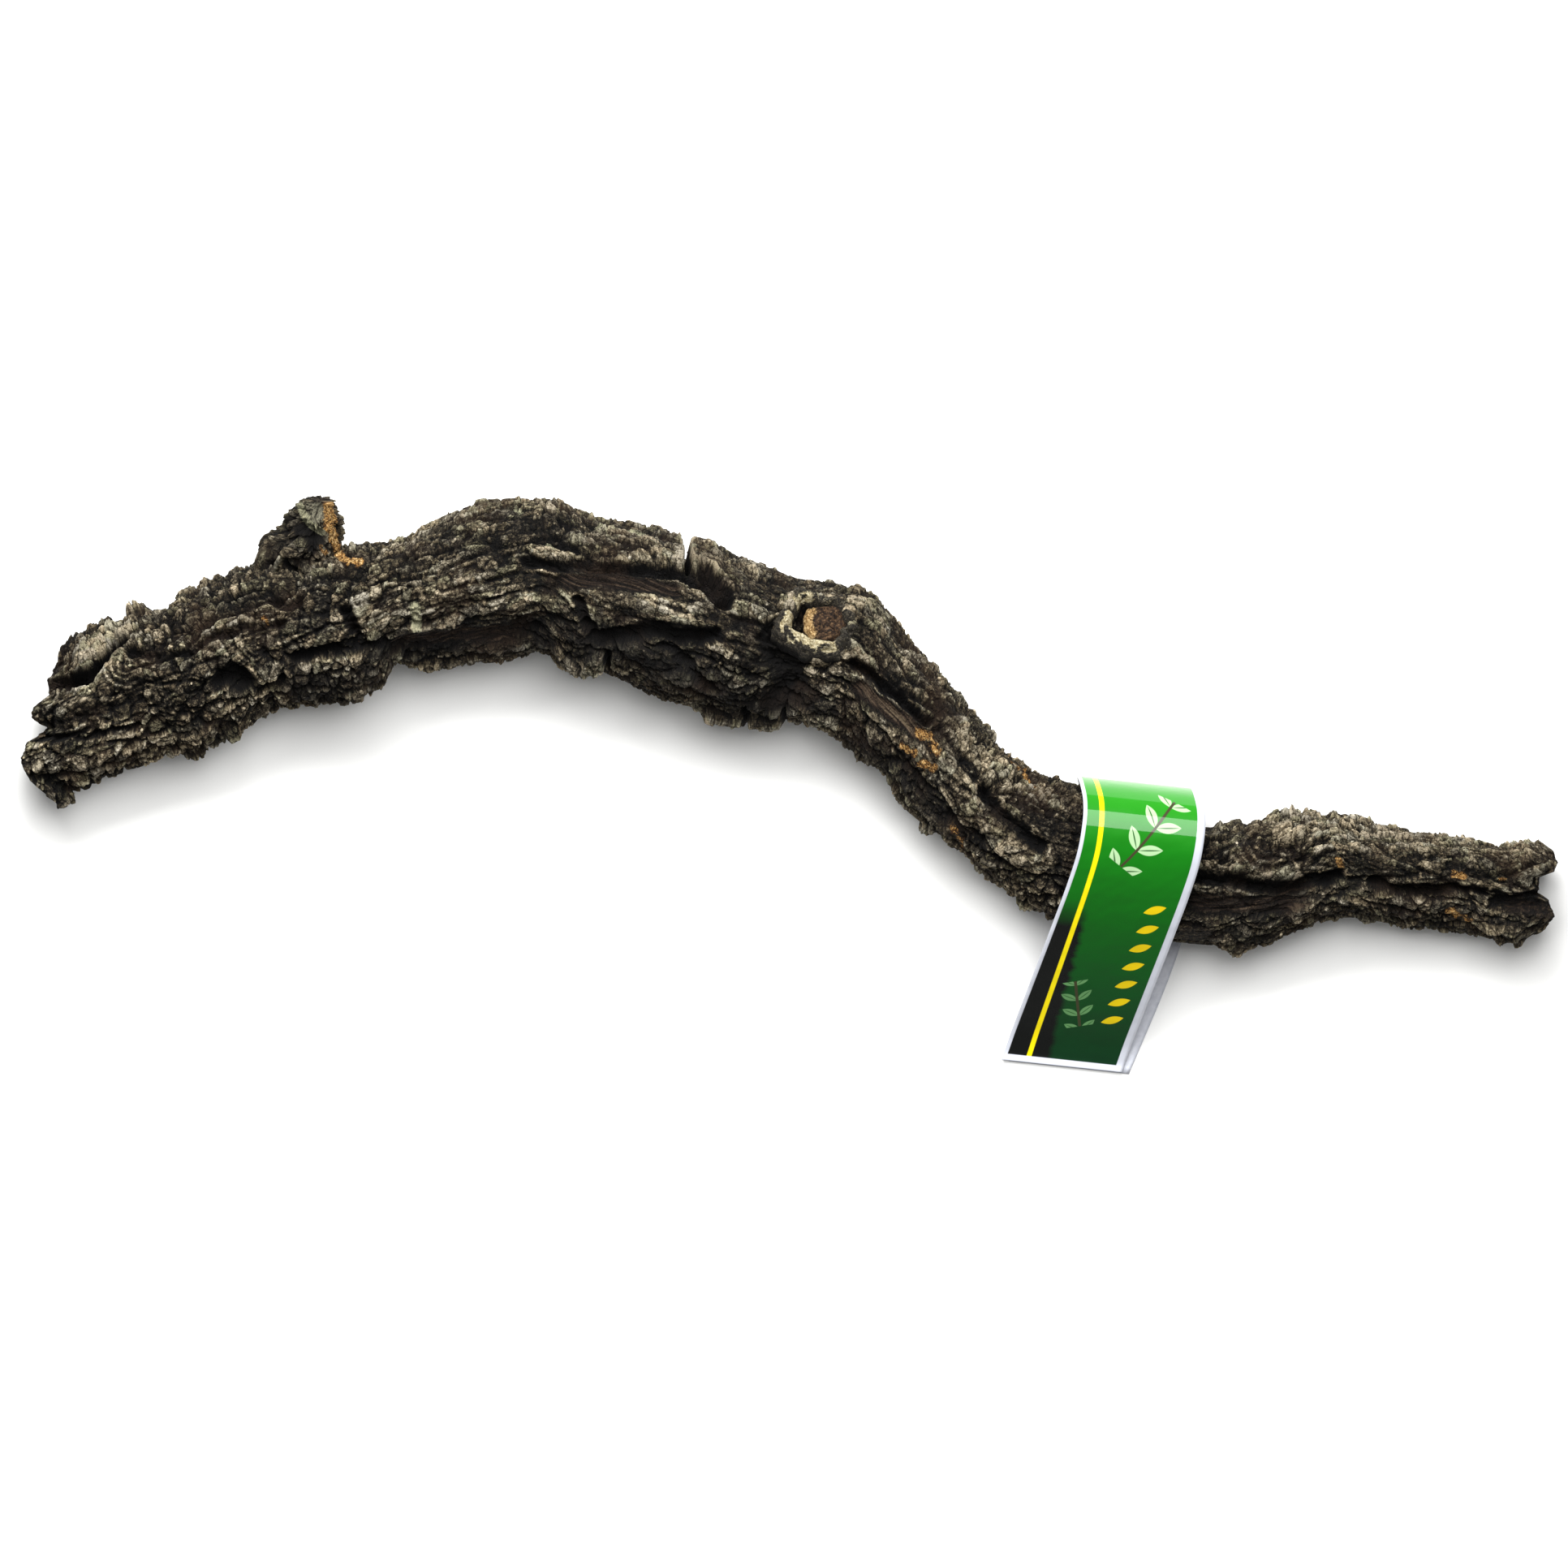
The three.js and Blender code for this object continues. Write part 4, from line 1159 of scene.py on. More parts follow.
crumb_tree = bpy.data.node_groups.new("bark crumbs", "GeometryNodeTree")
crumb_tree.interface.new_socket("Geometry", in_out="INPUT", socket_type="NodeSocketGeometry")
crumb_tree.interface.new_socket("Geometry", in_out="OUTPUT", socket_type="NodeSocketGeometry")
crumb_inputs = {}
for socket_name, kind, value in (
    ("Crumbs per square metre", "NodeSocketFloat", CRUMBS_PER_SQUARE_METRE),
    ("Smallest radius", "NodeSocketFloat", CRUMB_RADII_M[0]),
    ("Largest radius", "NodeSocketFloat", CRUMB_RADII_M[1]),
    ("Seed", "NodeSocketInt", CRUMB_SEED),
    ("Material", "NodeSocketMaterial", cork),
):
    socket = crumb_tree.interface.new_socket(socket_name, in_out="INPUT", socket_type=kind)
    crumb_inputs[socket.identifier] = value
given = crumb_tree.nodes.new("NodeGroupInput").outputs
share = add_node(crumb_tree, "GeometryNodeInputNamedAttribute", {"Name": "crumb_share"}, data_type="FLOAT")
density = add_node(
    crumb_tree,
    "ShaderNodeMath",
    {0: share.outputs["Attribute"], 1: given["Crumbs per square metre"]},
    operation="MULTIPLY",
).outputs[0]
scattered = add_node(
    crumb_tree,
    "GeometryNodeDistributePointsOnFaces",
    {"Mesh": given["Geometry"], "Density": density, "Seed": given["Seed"]},
).outputs
ball = add_node(crumb_tree, "GeometryNodeMeshIcoSphere", {"Radius": 1.0, "Subdivisions": 1}).outputs["Mesh"]
crumb_shape = add_node(
    crumb_tree, "GeometryNodeTransform", {"Geometry": ball, "Scale": CRUMB_FLATNESS}
).outputs[0]
crumb_size = add_node(
    crumb_tree,
    "FunctionNodeRandomValue",
    {2: given["Smallest radius"], 3: given["Largest radius"], "Seed": given["Seed"]},
    data_type="FLOAT",
).outputs[1]
spin = add_node(
    crumb_tree,
    "FunctionNodeRandomValue",
    {2: 0.0, 3: CRUMB_SPIN_RADIANS, "Seed": CRUMB_SPIN_SEED},
    data_type="FLOAT",
).outputs[1]
spin = add_node(crumb_tree, "FunctionNodeAxisAngleToRotation", {"Axis": (0, 0, 1), "Angle": spin}).outputs[0]
crumb_turn = add_node(
    crumb_tree, "FunctionNodeRotateRotation", {0: scattered["Rotation"], 1: spin}, rotation_space="LOCAL"
).outputs[0]
placed_crumbs = add_node(
    crumb_tree,
    "GeometryNodeInstanceOnPoints",
    {"Points": scattered["Points"], "Instance": crumb_shape, "Rotation": crumb_turn, "Scale": crumb_size},
).outputs[0]
whole_crumbs = add_node(crumb_tree, "GeometryNodeRealizeInstances", {0: placed_crumbs}).outputs[0]
finished_crumbs = add_node(
    crumb_tree, "GeometryNodeSetMaterial", {"Geometry": whole_crumbs, "Material": given["Material"]}
).outputs[0]
add_node(crumb_tree, "NodeGroupOutput", {0: finished_crumbs})
scatter = crumbs.modifiers.new("scatter", "NODES")
scatter.node_group = crumb_tree
for identifier, value in crumb_inputs.items():
    scatter[identifier] = value
seen = bpy.context.evaluated_depsgraph_get()
crumb_mesh = bpy.data.meshes.new_from_object(crumbs.evaluated_get(seen), depsgraph=seen)
crumbs.modifiers.clear()
crumbs.data = crumb_mesh
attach(crumbs, "root")
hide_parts("branch")


# Side shoot
# A side shoot broke off here long ago. Its short stump leans out beyond the arch and up, in the same bark.
# The broken end shows grey wood with a pale rim, and beside it the bark came off down to fresh cork.

# From its foot to its tip: the middle's x and y in the photograph, then its height, half its width and half
# its depth in mm
SHOOT_ROWS = np.array(
    [
        [384, 772, 27, 18, 16],
        [379, 728, 30, 20, 18],
        [374, 694, 35, 17.6, 16],
        [383, 668, 38, 14.2, 13.5],
        [391, 645, 42, 11, 11],
        [398, 626, 45, 7.5, 9],
        [399, 618, 46, 5.5, 7],
    ],
    dtype=float,
)
SHOOT_RINGS = 130
SHOOT_SIDES = 180
SHOOT_LUMPS = 0.22
# Its length for the bark's pattern, which starts beyond that of the branch and so differs from it
SHOOT_PATTERN_MM = 55
SHOOT_PATTERN_START_MM = 900
SHOOT_BLOCKY = 0.9
# The broken face: its middle, its height, the way that it faces, and the y beyond which it cuts the stump
BROKEN_FACE_PX = (389, 634)
BROKEN_FACE_HEIGHT_MM = 49.5
BROKEN_FACE_WAY = np.array([-0.12, 0.33, 0.93])
BROKEN_FROM_PX = 662
# Hollows in the form of the branch's furrows, then colours in the form of the branch's
SHOOT_HOLLOWS = [
    (8, 6, [(372, 652), (386, 662), (397, 668)]),
    (4, 3, [(352, 700), (366, 716)]),
    (4, 3, [(398, 700), (394, 716)]),
    (5, 3, [(330, 700), (322, 730)]),
]
SHOOT_FRESH_CORK = [
    (7.5, 1.4, [(410, 622), (411, 652)]),
    (7.5, 1.5, [(415, 662), (425, 684), (446, 690)]),
    (4, 1.0, [(400, 676), (404, 682)]),
]
SHOOT_PALE_RIM = [(3.2, 1.6, [(372, 622), (378, 638), (388, 650), (401, 658)])]
# Painted shade under the rim of the broken face and on the stump's sides, where shade falls
SHOOT_PAINTED_SHADE_BARK = [
    (9, 1.3, [(374, 655), (386, 663), (396, 670)]),
    (5, 1.2, [(424, 636), (428, 652)]),
    (30, 0.5, [(330, 690), (350, 672), (372, 664)]),
    (30, 0.45, [(388, 690), (384, 722)]),
]

shoot_shares = np.linspace(0, 1, SHOOT_RINGS)
shoot_x, shoot_y = plan_mm(SHOOT_ROWS[:, 0], SHOOT_ROWS[:, 1])
shoot_middle = curve_through(np.column_stack([shoot_x, shoot_y, SHOOT_ROWS[:, 2]]), shoot_shares)
shoot_wide, shoot_deep = curve_through(SHOOT_ROWS[:, 3:], shoot_shares).T[:, :, None]
shoot_way = np.gradient(shoot_middle, axis=0)
shoot_way /= np.linalg.norm(shoot_way, axis=1, keepdims=True)
wide_way = np.array([1.0, 0, 0]) - shoot_way * shoot_way[:, :1]
wide_way /= np.linalg.norm(wide_way, axis=1, keepdims=True)
deep_way = np.cross(shoot_way, wide_way)
shoot_angle = np.arange(SHOOT_SIDES) / SHOOT_SIDES * 2 * math.pi
cos, sin = np.cos(shoot_angle)[None], np.sin(shoot_angle)[None]
lump = 1 + SHOOT_LUMPS * (smooth_noise(shoot_shares[:, None] * 11 / 5, cos * 2 + 9, sin * 2 + 9) - 0.5)
shoot_plain = (
    shoot_middle[:, None]
    + wide_way[:, None] * (shoot_wide * lump * cos)[:, :, None]
    + deep_way[:, None] * (shoot_deep * lump * sin)[:, :, None]
)
shoot_out = wide_way[:, None] * (cos / shoot_wide)[:, :, None]
shoot_out = shoot_out + deep_way[:, None] * (sin / shoot_deep)[:, :, None]
shoot_out = (shoot_out / np.linalg.norm(shoot_out, axis=2, keepdims=True)).reshape(-1, 3)
shoot_flat = shoot_plain.reshape(-1, 3)
shoot_along = np.repeat(shoot_shares * SHOOT_PATTERN_MM + SHOOT_PATTERN_START_MM, SHOOT_SIDES)
shoot_sideways = (shoot_wide * cos).ravel()
shoot_upwards = (shoot_deep * sin).ravel()

# Its relief: the bark's pattern, hollows, and crumbly patches where the cork is fresh
facing_up = smooth_step(shoot_out[:, 2], -0.1, 0.2)
shoot_hollow = facing_up * reach_from_above(SHOOT_HOLLOWS, shoot_flat)
shoot_detail, shoot_tone, shoot_hue = bark_detail(
    shoot_along, shoot_sideways, shoot_upwards, SHOOT_BLOCKY
)
shoot_relief = in_layers(shoot_detail - shoot_hollow, shoot_along, shoot_sideways, shoot_upwards)
shoot_crumbly = np.minimum(1, facing_up * reach_from_above(SHOOT_FRESH_CORK, shoot_flat))
crumbly = 1.2 * rough_noise(*(shoot_flat / 1.7).T, 2)
shoot_relief = shoot_relief * (1 - 0.8 * shoot_crumbly) + (crumbly - 0.6) * shoot_crumbly
shoot_points = shoot_flat + shoot_out * shoot_relief[:, None]

# The broken end is a slanting face: what would stand out beyond it is laid down on it
face_x, face_y = plan_mm(*BROKEN_FACE_PX)
face_way = BROKEN_FACE_WAY / np.linalg.norm(BROKEN_FACE_WAY)
beyond = (shoot_points - np.array([face_x, face_y, BROKEN_FACE_HEIGHT_MM])) @ face_way
beyond = np.where(shoot_points[:, 1] > plan_mm(0, BROKEN_FROM_PX)[1], np.maximum(beyond, 0), 0)
splinters = 0.7 * rough_noise(shoot_points[:, 0] / 0.9, shoot_points[:, 1] / 5, 0, 3)
sunk = (1.1 - splinters) * smooth_step(beyond, 0.3, 1.6)
shoot_points -= face_way * (beyond + sunk)[:, None]
broken = smooth_step(beyond, 0.25, 1.0)
shoot_points[:, 2] = np.maximum(0.5, shoot_points[:, 2])

shoot_rings = shoot_points.reshape(SHOOT_RINGS, SHOOT_SIDES, 3)
side_shoot = make_piece(
    "side_shoot_stump",
    np.vstack([shoot_points, shoot_rings[0].mean(axis=0)[None], shoot_rings[-1].mean(axis=0)[None]]),
    tube_faces(SHOOT_RINGS, SHOOT_SIDES),
)


def with_ends(values, sides):
    """Values at the points of a tube, with those of its first and last ring repeated for the two middles."""
    values = np.asarray(values)
    return np.concatenate([values, values[:1], values[-sides : 1 - sides]])


shoot_fresh = facing_up * reach_from_above(SHOOT_FRESH_CORK, shoot_points)
shoot_pale = facing_up * reach_from_above(SHOOT_PALE_RIM, shoot_points)
shoot_place = np.column_stack([shoot_along, shoot_sideways, shoot_upwards])
smoothed = shoot_relief.reshape(SHOOT_RINGS, SHOOT_SIDES)
smoothed = sum(np.roll(smoothed, shift, axis=1) for shift in range(-8, 9)) / 17
# How sunk the stump's bark is, which darkens it as painted shade together with dirt, most in its hollows
shoot_cavity = 0.5 + 1.6 * (shoot_relief - smoothed.ravel()) - 0.5 * shoot_hollow
for value_name, values in {
    "bark_place": shoot_place,
    "relief_mm": shoot_relief,
    "cavity_mm": shoot_cavity,
    "fresh_cork": shoot_fresh,
    "lichen": shoot_pale,
    "inner_bark": np.zeros(len(shoot_flat)),
    "pale_bark_and_painted_light": np.zeros(len(shoot_flat)),
    "painted_shade_bark": facing_up * reach_from_above(SHOOT_PAINTED_SHADE_BARK, shoot_points),
    "scale_look": np.column_stack([shoot_tone, shoot_hue, 0 * shoot_hue]),
    "cut_wood": np.zeros(len(shoot_flat)),
    "grey_wood": broken * (1 - np.minimum(1, shoot_fresh)) * (1 - np.minimum(1, shoot_pale)),
}.items():
    give_values(side_shoot, value_name, with_ends(values, SHOOT_SIDES))
side_shoot.data.materials.append(cork)
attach(side_shoot, "root")
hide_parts("branch")


# Knot
# A side branch was sawn off here and the stem grew a lip of callus round the cut, cream where it is still
# clean. Inside it the sawn wood shrank away from the lip and left a dark gap on its left.

# Section of the lip: distance from the knot's middle, then height above the bark, in mm
LIP_SECTION = np.array(
    [
        [9.1, -12],
        [8.8, -6],
        [9.0, -1.6],
        [9.6, 1.2],
        [10.8, 2.4],
        [12.2, 1.9],
        [13.4, 0.2],
        [14.2, -2.0],
        [14.6, -5.0],
        [12.8, -12],
        [9.1, -12],
    ]
)
LIP_SIDES = 60
LIP_AROUND = 220
# How much its radius varies, how much wider it is on the left, and how crumpled it is in mm
LIP_UNEVENNESS = 0.34
LIP_LEFT_WIDENING = 0.17
LIP_CRUMPLE_MM = 3.2
LIP_CRUMPLE_SIZE_MM = 3.0
# The fold where the two sides of the lip grew together
SEAM_DEGREES = 159
SEAM_RADIANS_WIDE = 0.13
SEAM_DEPTH_MM = 3.6
# The wood in the knot, which sits to the right of the middle
WOOD_RADIUS_MM = 8.3
WOOD_SHIFT_MM = 2.1
WOOD_TOP_MM = -1.6
WOOD_RINGS = 44
WOOD_AROUND = 150


def on_knot(radius, angle, height):
    """Points of the knot from distance, angle to the right of it and height above the bark."""
    flat_part = radius * np.cos(angle), radius * np.sin(angle), height
    return knot_seat + sum(
        part[..., None] * way for part, way in zip(flat_part, (knot_right, knot_up, knot_facing))
    )


lip_angle = (np.arange(LIP_AROUND) / LIP_AROUND * 2 * math.pi)[:, None]
lip_cos, lip_sin = np.cos(lip_angle), np.sin(lip_angle)
section = curve_through(LIP_SECTION, np.arange(LIP_SIDES) / LIP_SIDES)
even_radius = section[None, :, 0] * (
    1 + LIP_UNEVENNESS * rough_noise(lip_cos * 1.6 + 5, lip_sin * 1.6, 2, 4)
)
lip_radius = even_radius * (1 + LIP_LEFT_WIDENING * np.clip(-lip_cos, 0, 1) ** 2)
# Its top is higher on the left and below than on the right and above, and dips at the seam
lip_share = 0.8 - 0.26 * lip_cos - 0.2 * lip_sin
seam = np.exp(-(((lip_angle - math.radians(SEAM_DEGREES)) / SEAM_RADIANS_WIDE) ** 2))
lip_rise = np.where(section[None, :, 1] > -4, 3.4 * (lip_share - 1) - SEAM_DEPTH_MM * seam, 0)
lip_height = section[None, :, 1] + lip_rise
crumpled = LIP_CRUMPLE_MM * rough_noise(
    lip_radius * lip_cos / LIP_CRUMPLE_SIZE_MM,
    lip_radius * lip_sin / LIP_CRUMPLE_SIZE_MM,
    lip_height / LIP_CRUMPLE_SIZE_MM,
    4,
)
lip_height = lip_height + crumpled
lip_radius = lip_radius + 0.4 * crumpled
lip_points = on_knot(lip_radius, lip_angle + 0 * lip_radius, lip_height)
around = np.arange(LIP_AROUND)[:, None]
side = np.arange(LIP_SIDES)[None]
next_around = (around + 1) % LIP_AROUND
next_side = (side + 1) % LIP_SIDES
lip_faces = np.stack(
    [
        around * LIP_SIDES + side,
        around * LIP_SIDES + next_side,
        next_around * LIP_SIDES + next_side,
        next_around * LIP_SIDES + side,
    ],
    axis=2,
).reshape(-1, 4)
lip = make_piece("knot_callus_lip", lip_points.reshape(-1, 3), lip_faces.tolist())
clean = bare_callus(np.degrees(lip_angle))
outer_fade = 1 - smooth_step(even_radius + 2.4 * crumpled, 12.8, 14.8)
inner_fade = smooth_step(lip_height, -4.5, -1.0)
give_values(lip, "clean_callus", (clean * outer_fade * inner_fade).ravel())
give_values(lip, "bark_place", (lip_points - knot_seat).reshape(-1, 3))
give_values(lip, "depth_mm", (lip_height + crumpled).ravel())

# Callus wood: smooth, cream where clean, in patches between bark-brown dirt, and with painted shade in its
# depth
callus, tree, shader = make_material(
    "callus wood with dirt", {"Roughness": 0.8, "IOR": 1.5, "Specular IOR Level": 0.3}
)
place = add_node(tree, "ShaderNodeAttribute", attribute_name="bark_place").outputs["Vector"]
clean_value = add_node(tree, "ShaderNodeAttribute", attribute_name="clean_callus").outputs["Fac"]
depth_value = add_node(tree, "ShaderNodeAttribute", attribute_name="depth_mm").outputs["Fac"]
blotches = add_node(
    tree, "ShaderNodeTexNoise", {"Vector": place, "Scale": 0.5, "Detail": 5, "Roughness": 0.7}
).outputs[0]
specks = add_node(
    tree, "ShaderNodeTexNoise", {"Vector": place, "Scale": 1.1, "Detail": 4, "Roughness": 0.75}
).outputs[0]
cream, dirt = (
    add_node(tree, "ShaderNodeValToRGB", {"Fac": specks}, stops=stops).outputs[0]
    for stops in (
        [(0.34, "#4A3E2C"), (0.45, "#9A8C68"), (0.56, "#CABF9C"), (0.7, "#E8E0C8")],
        [(0.34, "#060403"), (0.48, "#1F1B15"), (0.6, "#4A4437"), (0.72, "#756C5B")],
    )
)
clean_patches = add_node(
    tree, "ShaderNodeMath", {0: blotches, 1: 2.4, 2: clean_value}, operation="MULTIPLY_ADD"
).outputs[0]
clean_share = add_node(
    tree, "ShaderNodeMapRange", {"Value": clean_patches, "From Min": 1.75, "From Max": 2.05}
).outputs[0]
# Painted shade, nearly black, deep in the lip and in the gap beside the wood
deep_painted_shade = add_node(
    tree,
    "ShaderNodeMapRange",
    {"Value": depth_value, "From Min": -7.0, "From Max": -3.0, "To Min": 1, "To Max": 0},
).outputs[0]
colour = dirt
for share, over in ((clean_share, cream), (deep_painted_shade, linear("#0B0806"))):
    colour = add_node(
        tree, "ShaderNodeMix", {"Factor": share, 6: colour, 7: over}, data_type="RGBA"
    ).outputs[2]
tree.links.new(colour, shader.inputs["Base Color"])
bump = add_node(tree, "ShaderNodeBump", {"Height": specks, "Distance": 0.0011}).outputs[0]
tree.links.new(bump, shader.inputs["Normal"])
lip.data.materials.append(callus)

# The wood: its top, then its side and its underside, which are hidden in the lip
wood_share = np.concatenate([np.linspace(0.02, 1, WOOD_RINGS - 3), [1.02, 1.0, 0.5]])[:, None]
wood_down = np.concatenate([np.zeros(WOOD_RINGS - 3), [3, 11, 12]])[:, None]
wood_angle = -(np.arange(WOOD_AROUND) / WOOD_AROUND * 2 * math.pi)[None]
wood_cos, wood_sin = np.cos(wood_angle), np.sin(wood_angle)
wood_radius = wood_share * WOOD_RADIUS_MM * (1 + 0.26 * rough_noise(wood_cos * 1.6, wood_sin * 1.6, 7, 4))
wood_x, wood_y = wood_radius * wood_cos, wood_radius * wood_sin
split = rough_noise(wood_cos * 2.4 + 3, wood_sin * 2.4, 11, 3)
year_rings = 0.06 * np.sin(wood_radius * 5.2 + 5 * rough_noise(wood_x / 4, wood_y / 4, 1, 2))
wood_top = (
    WOOD_TOP_MM
    + 0.7 * (1 - wood_share**2)
    - 1.6 * smooth_step(wood_share, 0.86, 1.0)
    + year_rings
    - 1.3 * (1 - smooth_step(np.abs(split), 0.0, 0.035)) * smooth_step(wood_share, 0.15, 0.5)
    + 1.3 * rough_noise(wood_x / 2.2, wood_y / 2.2, 4, 3)
)
wood_height = np.where(wood_down > 0, -3 - wood_down, wood_top)
wood_points = on_knot(wood_radius, wood_angle + 0 * wood_radius, wood_height)
wood_points = wood_points + knot_right * WOOD_SHIFT_MM
wood_tip = knot_seat + knot_right * WOOD_SHIFT_MM
knot_wood = make_piece(
    "knot_wood",
    np.vstack([wood_points.reshape(-1, 3), [wood_tip - 0.9 * knot_facing], [wood_tip - 15 * knot_facing]]),
    tube_faces(WOOD_RINGS, WOOD_AROUND),
)
give_values(knot_wood, "wood_place", with_ends((wood_points - wood_tip).reshape(-1, 3), WOOD_AROUND))
give_values(knot_wood, "wood_radius", with_ends(wood_radius.ravel(), WOOD_AROUND))
pale_side = (1 - smooth_step(wood_cos, -0.8, -0.1)) * smooth_step(wood_share, 0.35, 0.75)
give_values(knot_wood, "pale_side", with_ends((pale_side * (wood_down == 0)).ravel(), WOOD_AROUND))

# Sawn oak wood, weathered: brown year rings, crumbled, with a paler orange edge on the side of the gap
sawn, tree, shader = make_material(
    "weathered sawn oak", {"Roughness": 0.85, "IOR": 1.5, "Specular IOR Level": 0.25}
)
place = add_node(tree, "ShaderNodeAttribute", attribute_name="wood_place").outputs["Vector"]
radius_value = add_node(tree, "ShaderNodeAttribute", attribute_name="wood_radius").outputs["Fac"]
pale_value = add_node(tree, "ShaderNodeAttribute", attribute_name="pale_side").outputs["Fac"]
specks = add_node(
    tree, "ShaderNodeTexNoise", {"Vector": place, "Scale": 0.9, "Detail": 5, "Roughness": 0.75}
).outputs[0]
ring_place = add_node(
    tree, "ShaderNodeMath", {0: specks, 1: 5.5, 2: radius_value}, operation="MULTIPLY_ADD"
).outputs[0]
ring_lines = add_node(
    tree, "ShaderNodeTexNoise", {"W": ring_place, "Scale": 0.8, "Detail": 3}, noise_dimensions="1D"
).outputs[0]
wood_shade = add_node(tree, "ShaderNodeMath", {0: specks, 1: 1.55}, operation="MULTIPLY").outputs[0]
wood_shade = add_node(
    tree, "ShaderNodeMath", {0: ring_lines, 1: 0.45, 2: wood_shade}, operation="MULTIPLY_ADD"
).outputs[0]
half_shade = add_node(tree, "ShaderNodeMath", {0: wood_shade, 1: 0.5}, operation="MULTIPLY").outputs[0]
brown = add_node(
    tree,
    "ShaderNodeValToRGB",
    {"Fac": half_shade},
    stops=[(0.4, "#0A0604"), (0.48, "#2A1C12"), (0.55, "#4C3826"), (0.68, "#806648")],
).outputs[0]
pale = add_node(
    tree,
    "ShaderNodeValToRGB",
    {"Fac": specks},
    stops=[(0.38, "#432C16"), (0.5, "#96774A"), (0.64, "#CDB384")],
).outputs[0]
pale_edge = add_node(
    tree, "ShaderNodeMath", {0: specks, 1: 0.9, 2: pale_value}, operation="MULTIPLY_ADD"
).outputs[0]
pale_share = add_node(
    tree, "ShaderNodeMapRange", {"Value": pale_edge, "From Min": 0.95, "From Max": 1.3}
).outputs[0]
colour = add_node(
    tree, "ShaderNodeMix", {"Factor": pale_share, 6: brown, 7: pale}, data_type="RGBA"
).outputs[2]
tree.links.new(colour, shader.inputs["Base Color"])
bump = add_node(tree, "ShaderNodeBump", {"Height": wood_shade, "Distance": 0.0006}).outputs[0]
tree.links.new(bump, shader.inputs["Normal"])
knot_wood.data.materials.append(sawn)
for knot_piece in (lip, knot_wood):
    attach(knot_piece, "root")
    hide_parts("branch")


# Card strip
# A printed strip of card, laminated in clear film whose edges stand past the print, is bent round the
# branch. Its two tails lie on each other and are stuck together near their ends. The print is on the outer
# face alone.

# Left edge from the front tail over the branch, round it and back along the surface: x, y and height in mm
STRIP_EDGE_ROWS = np.array(
    [
        [1236, 1308, 1.5],
        [1241, 1294, 1.6],
        [1249, 1270, 5],
        [1262, 1233, 14],
        [1279, 1185, 26],
        [1297, 1134, 38],
        [1313, 1088, 47],
        [1325, 1048, 52.5],
        [1331, 1012, 54],
        [1332, 986, 51],
        [1329, 966, 43],
        [1327, 957, 30],
        [1329, 961, 17],
        [1334, 977, 7],
        [1338, 1004, 1.6],
        [1338, 1040, 0.3],
        [1325, 1100, 0.3],
        [1293, 1196, 0.3],
        [1245, 1310, 0.3],
    ],
    dtype=float,
)
# The way across the strip from its left edge to its right, which slants down the photograph
STRIP_ACROSS_PX = (150.0, 16.0)
STRIP_WIDTH_MM = 47.5
STRIP_THICKNESS_MM = 0.6
STRIP_STEPS = 300
STRIP_ACROSS_STEPS = 40
STRIP_SIDES = 2 * (STRIP_ACROSS_STEPS + 1)
# Places on the print, in mm from the strip's left edge and from the end of its front tail
PRINT_LEFT_MM = 1.5
PRINT_RIGHT_MM = 44.4
PRINT_END_MM = 2.6
FOLD_MM = 146
# The stripe's middle at the end of the tail, and how far it goes left on the way to the fold
STRIPE_START_MM = 10.0
STRIPE_SHIFT_MM = 3.4
STRIPE_WIDTH_MM = 1.9
# The black field: how far across its edge is at the end of the tail, how fast it narrows, how wavy it is,
# how far along it goes, and how soft both edges are
BLACK_EDGE_MM = 15.5
BLACK_NARROWING = 0.09
BLACK_WAVES_MM = 5.0
BLACK_EDGE_BLUR_MM = 1.2
BLACK_TO_MM = 74.0
BLACK_TO_BLUR_MM = 6.0
INK_BLUR_MM = 0.12
# The row of yellow leaves: its place across, where it starts and ends, and how far apart its leaves are
LEAF_ROW_MM = 36.5
LEAF_ROW_SPAN_MM = (18.8, 84.6)
LEAF_ROW_PITCH_MM = 9.4
# Twigs: their middle across and along, length, lean in degrees, how far apart their pairs of leaves are, and
# the colour of the leaves
TWIGS = [
    (27.0, 112.0, 34, 32, 11.0, "#A9CC9A"),
    (21.0, 30.0, 24, -20, 8.0, "#5E8F58"),
]
TWIG_LEAF_DEGREES = 52

strip_x, strip_y = plan_mm(STRIP_EDGE_ROWS[:, 0], STRIP_EDGE_ROWS[:, 1])
strip_line = curve_through(
    np.column_stack([strip_x, strip_y, STRIP_EDGE_ROWS[:, 2]]), np.linspace(0, 1, STRIP_STEPS)
)
strip_way = np.gradient(strip_line, axis=0)
strip_way /= np.linalg.norm(strip_way, axis=1, keepdims=True)
strip_across = np.array([STRIP_ACROSS_PX[0], -STRIP_ACROSS_PX[1], 0])
strip_across *= STRIP_WIDTH_MM / np.linalg.norm(strip_across)
strip_out = np.cross(strip_across / STRIP_WIDTH_MM, strip_way)
strip_length = np.concatenate([[0], np.cumsum(np.linalg.norm(np.diff(strip_line, axis=0), axis=1))])
across_share = np.linspace(0, 1, STRIP_ACROSS_STEPS + 1)
middle_face = strip_line[:, None] + strip_across * across_share[None, :, None]
outer_face = middle_face + strip_out[:, None] * STRIP_THICKNESS_MM / 2
inner_face = outer_face - strip_out[:, None] * STRIP_THICKNESS_MM
strip_rings = np.concatenate([inner_face, outer_face[:, ::-1]], axis=1)
strip_rings[:, :, 2] = np.maximum(0, strip_rings[:, :, 2])
strip_faces = [face[::-1] for face in tube_faces(STRIP_STEPS, STRIP_SIDES)]
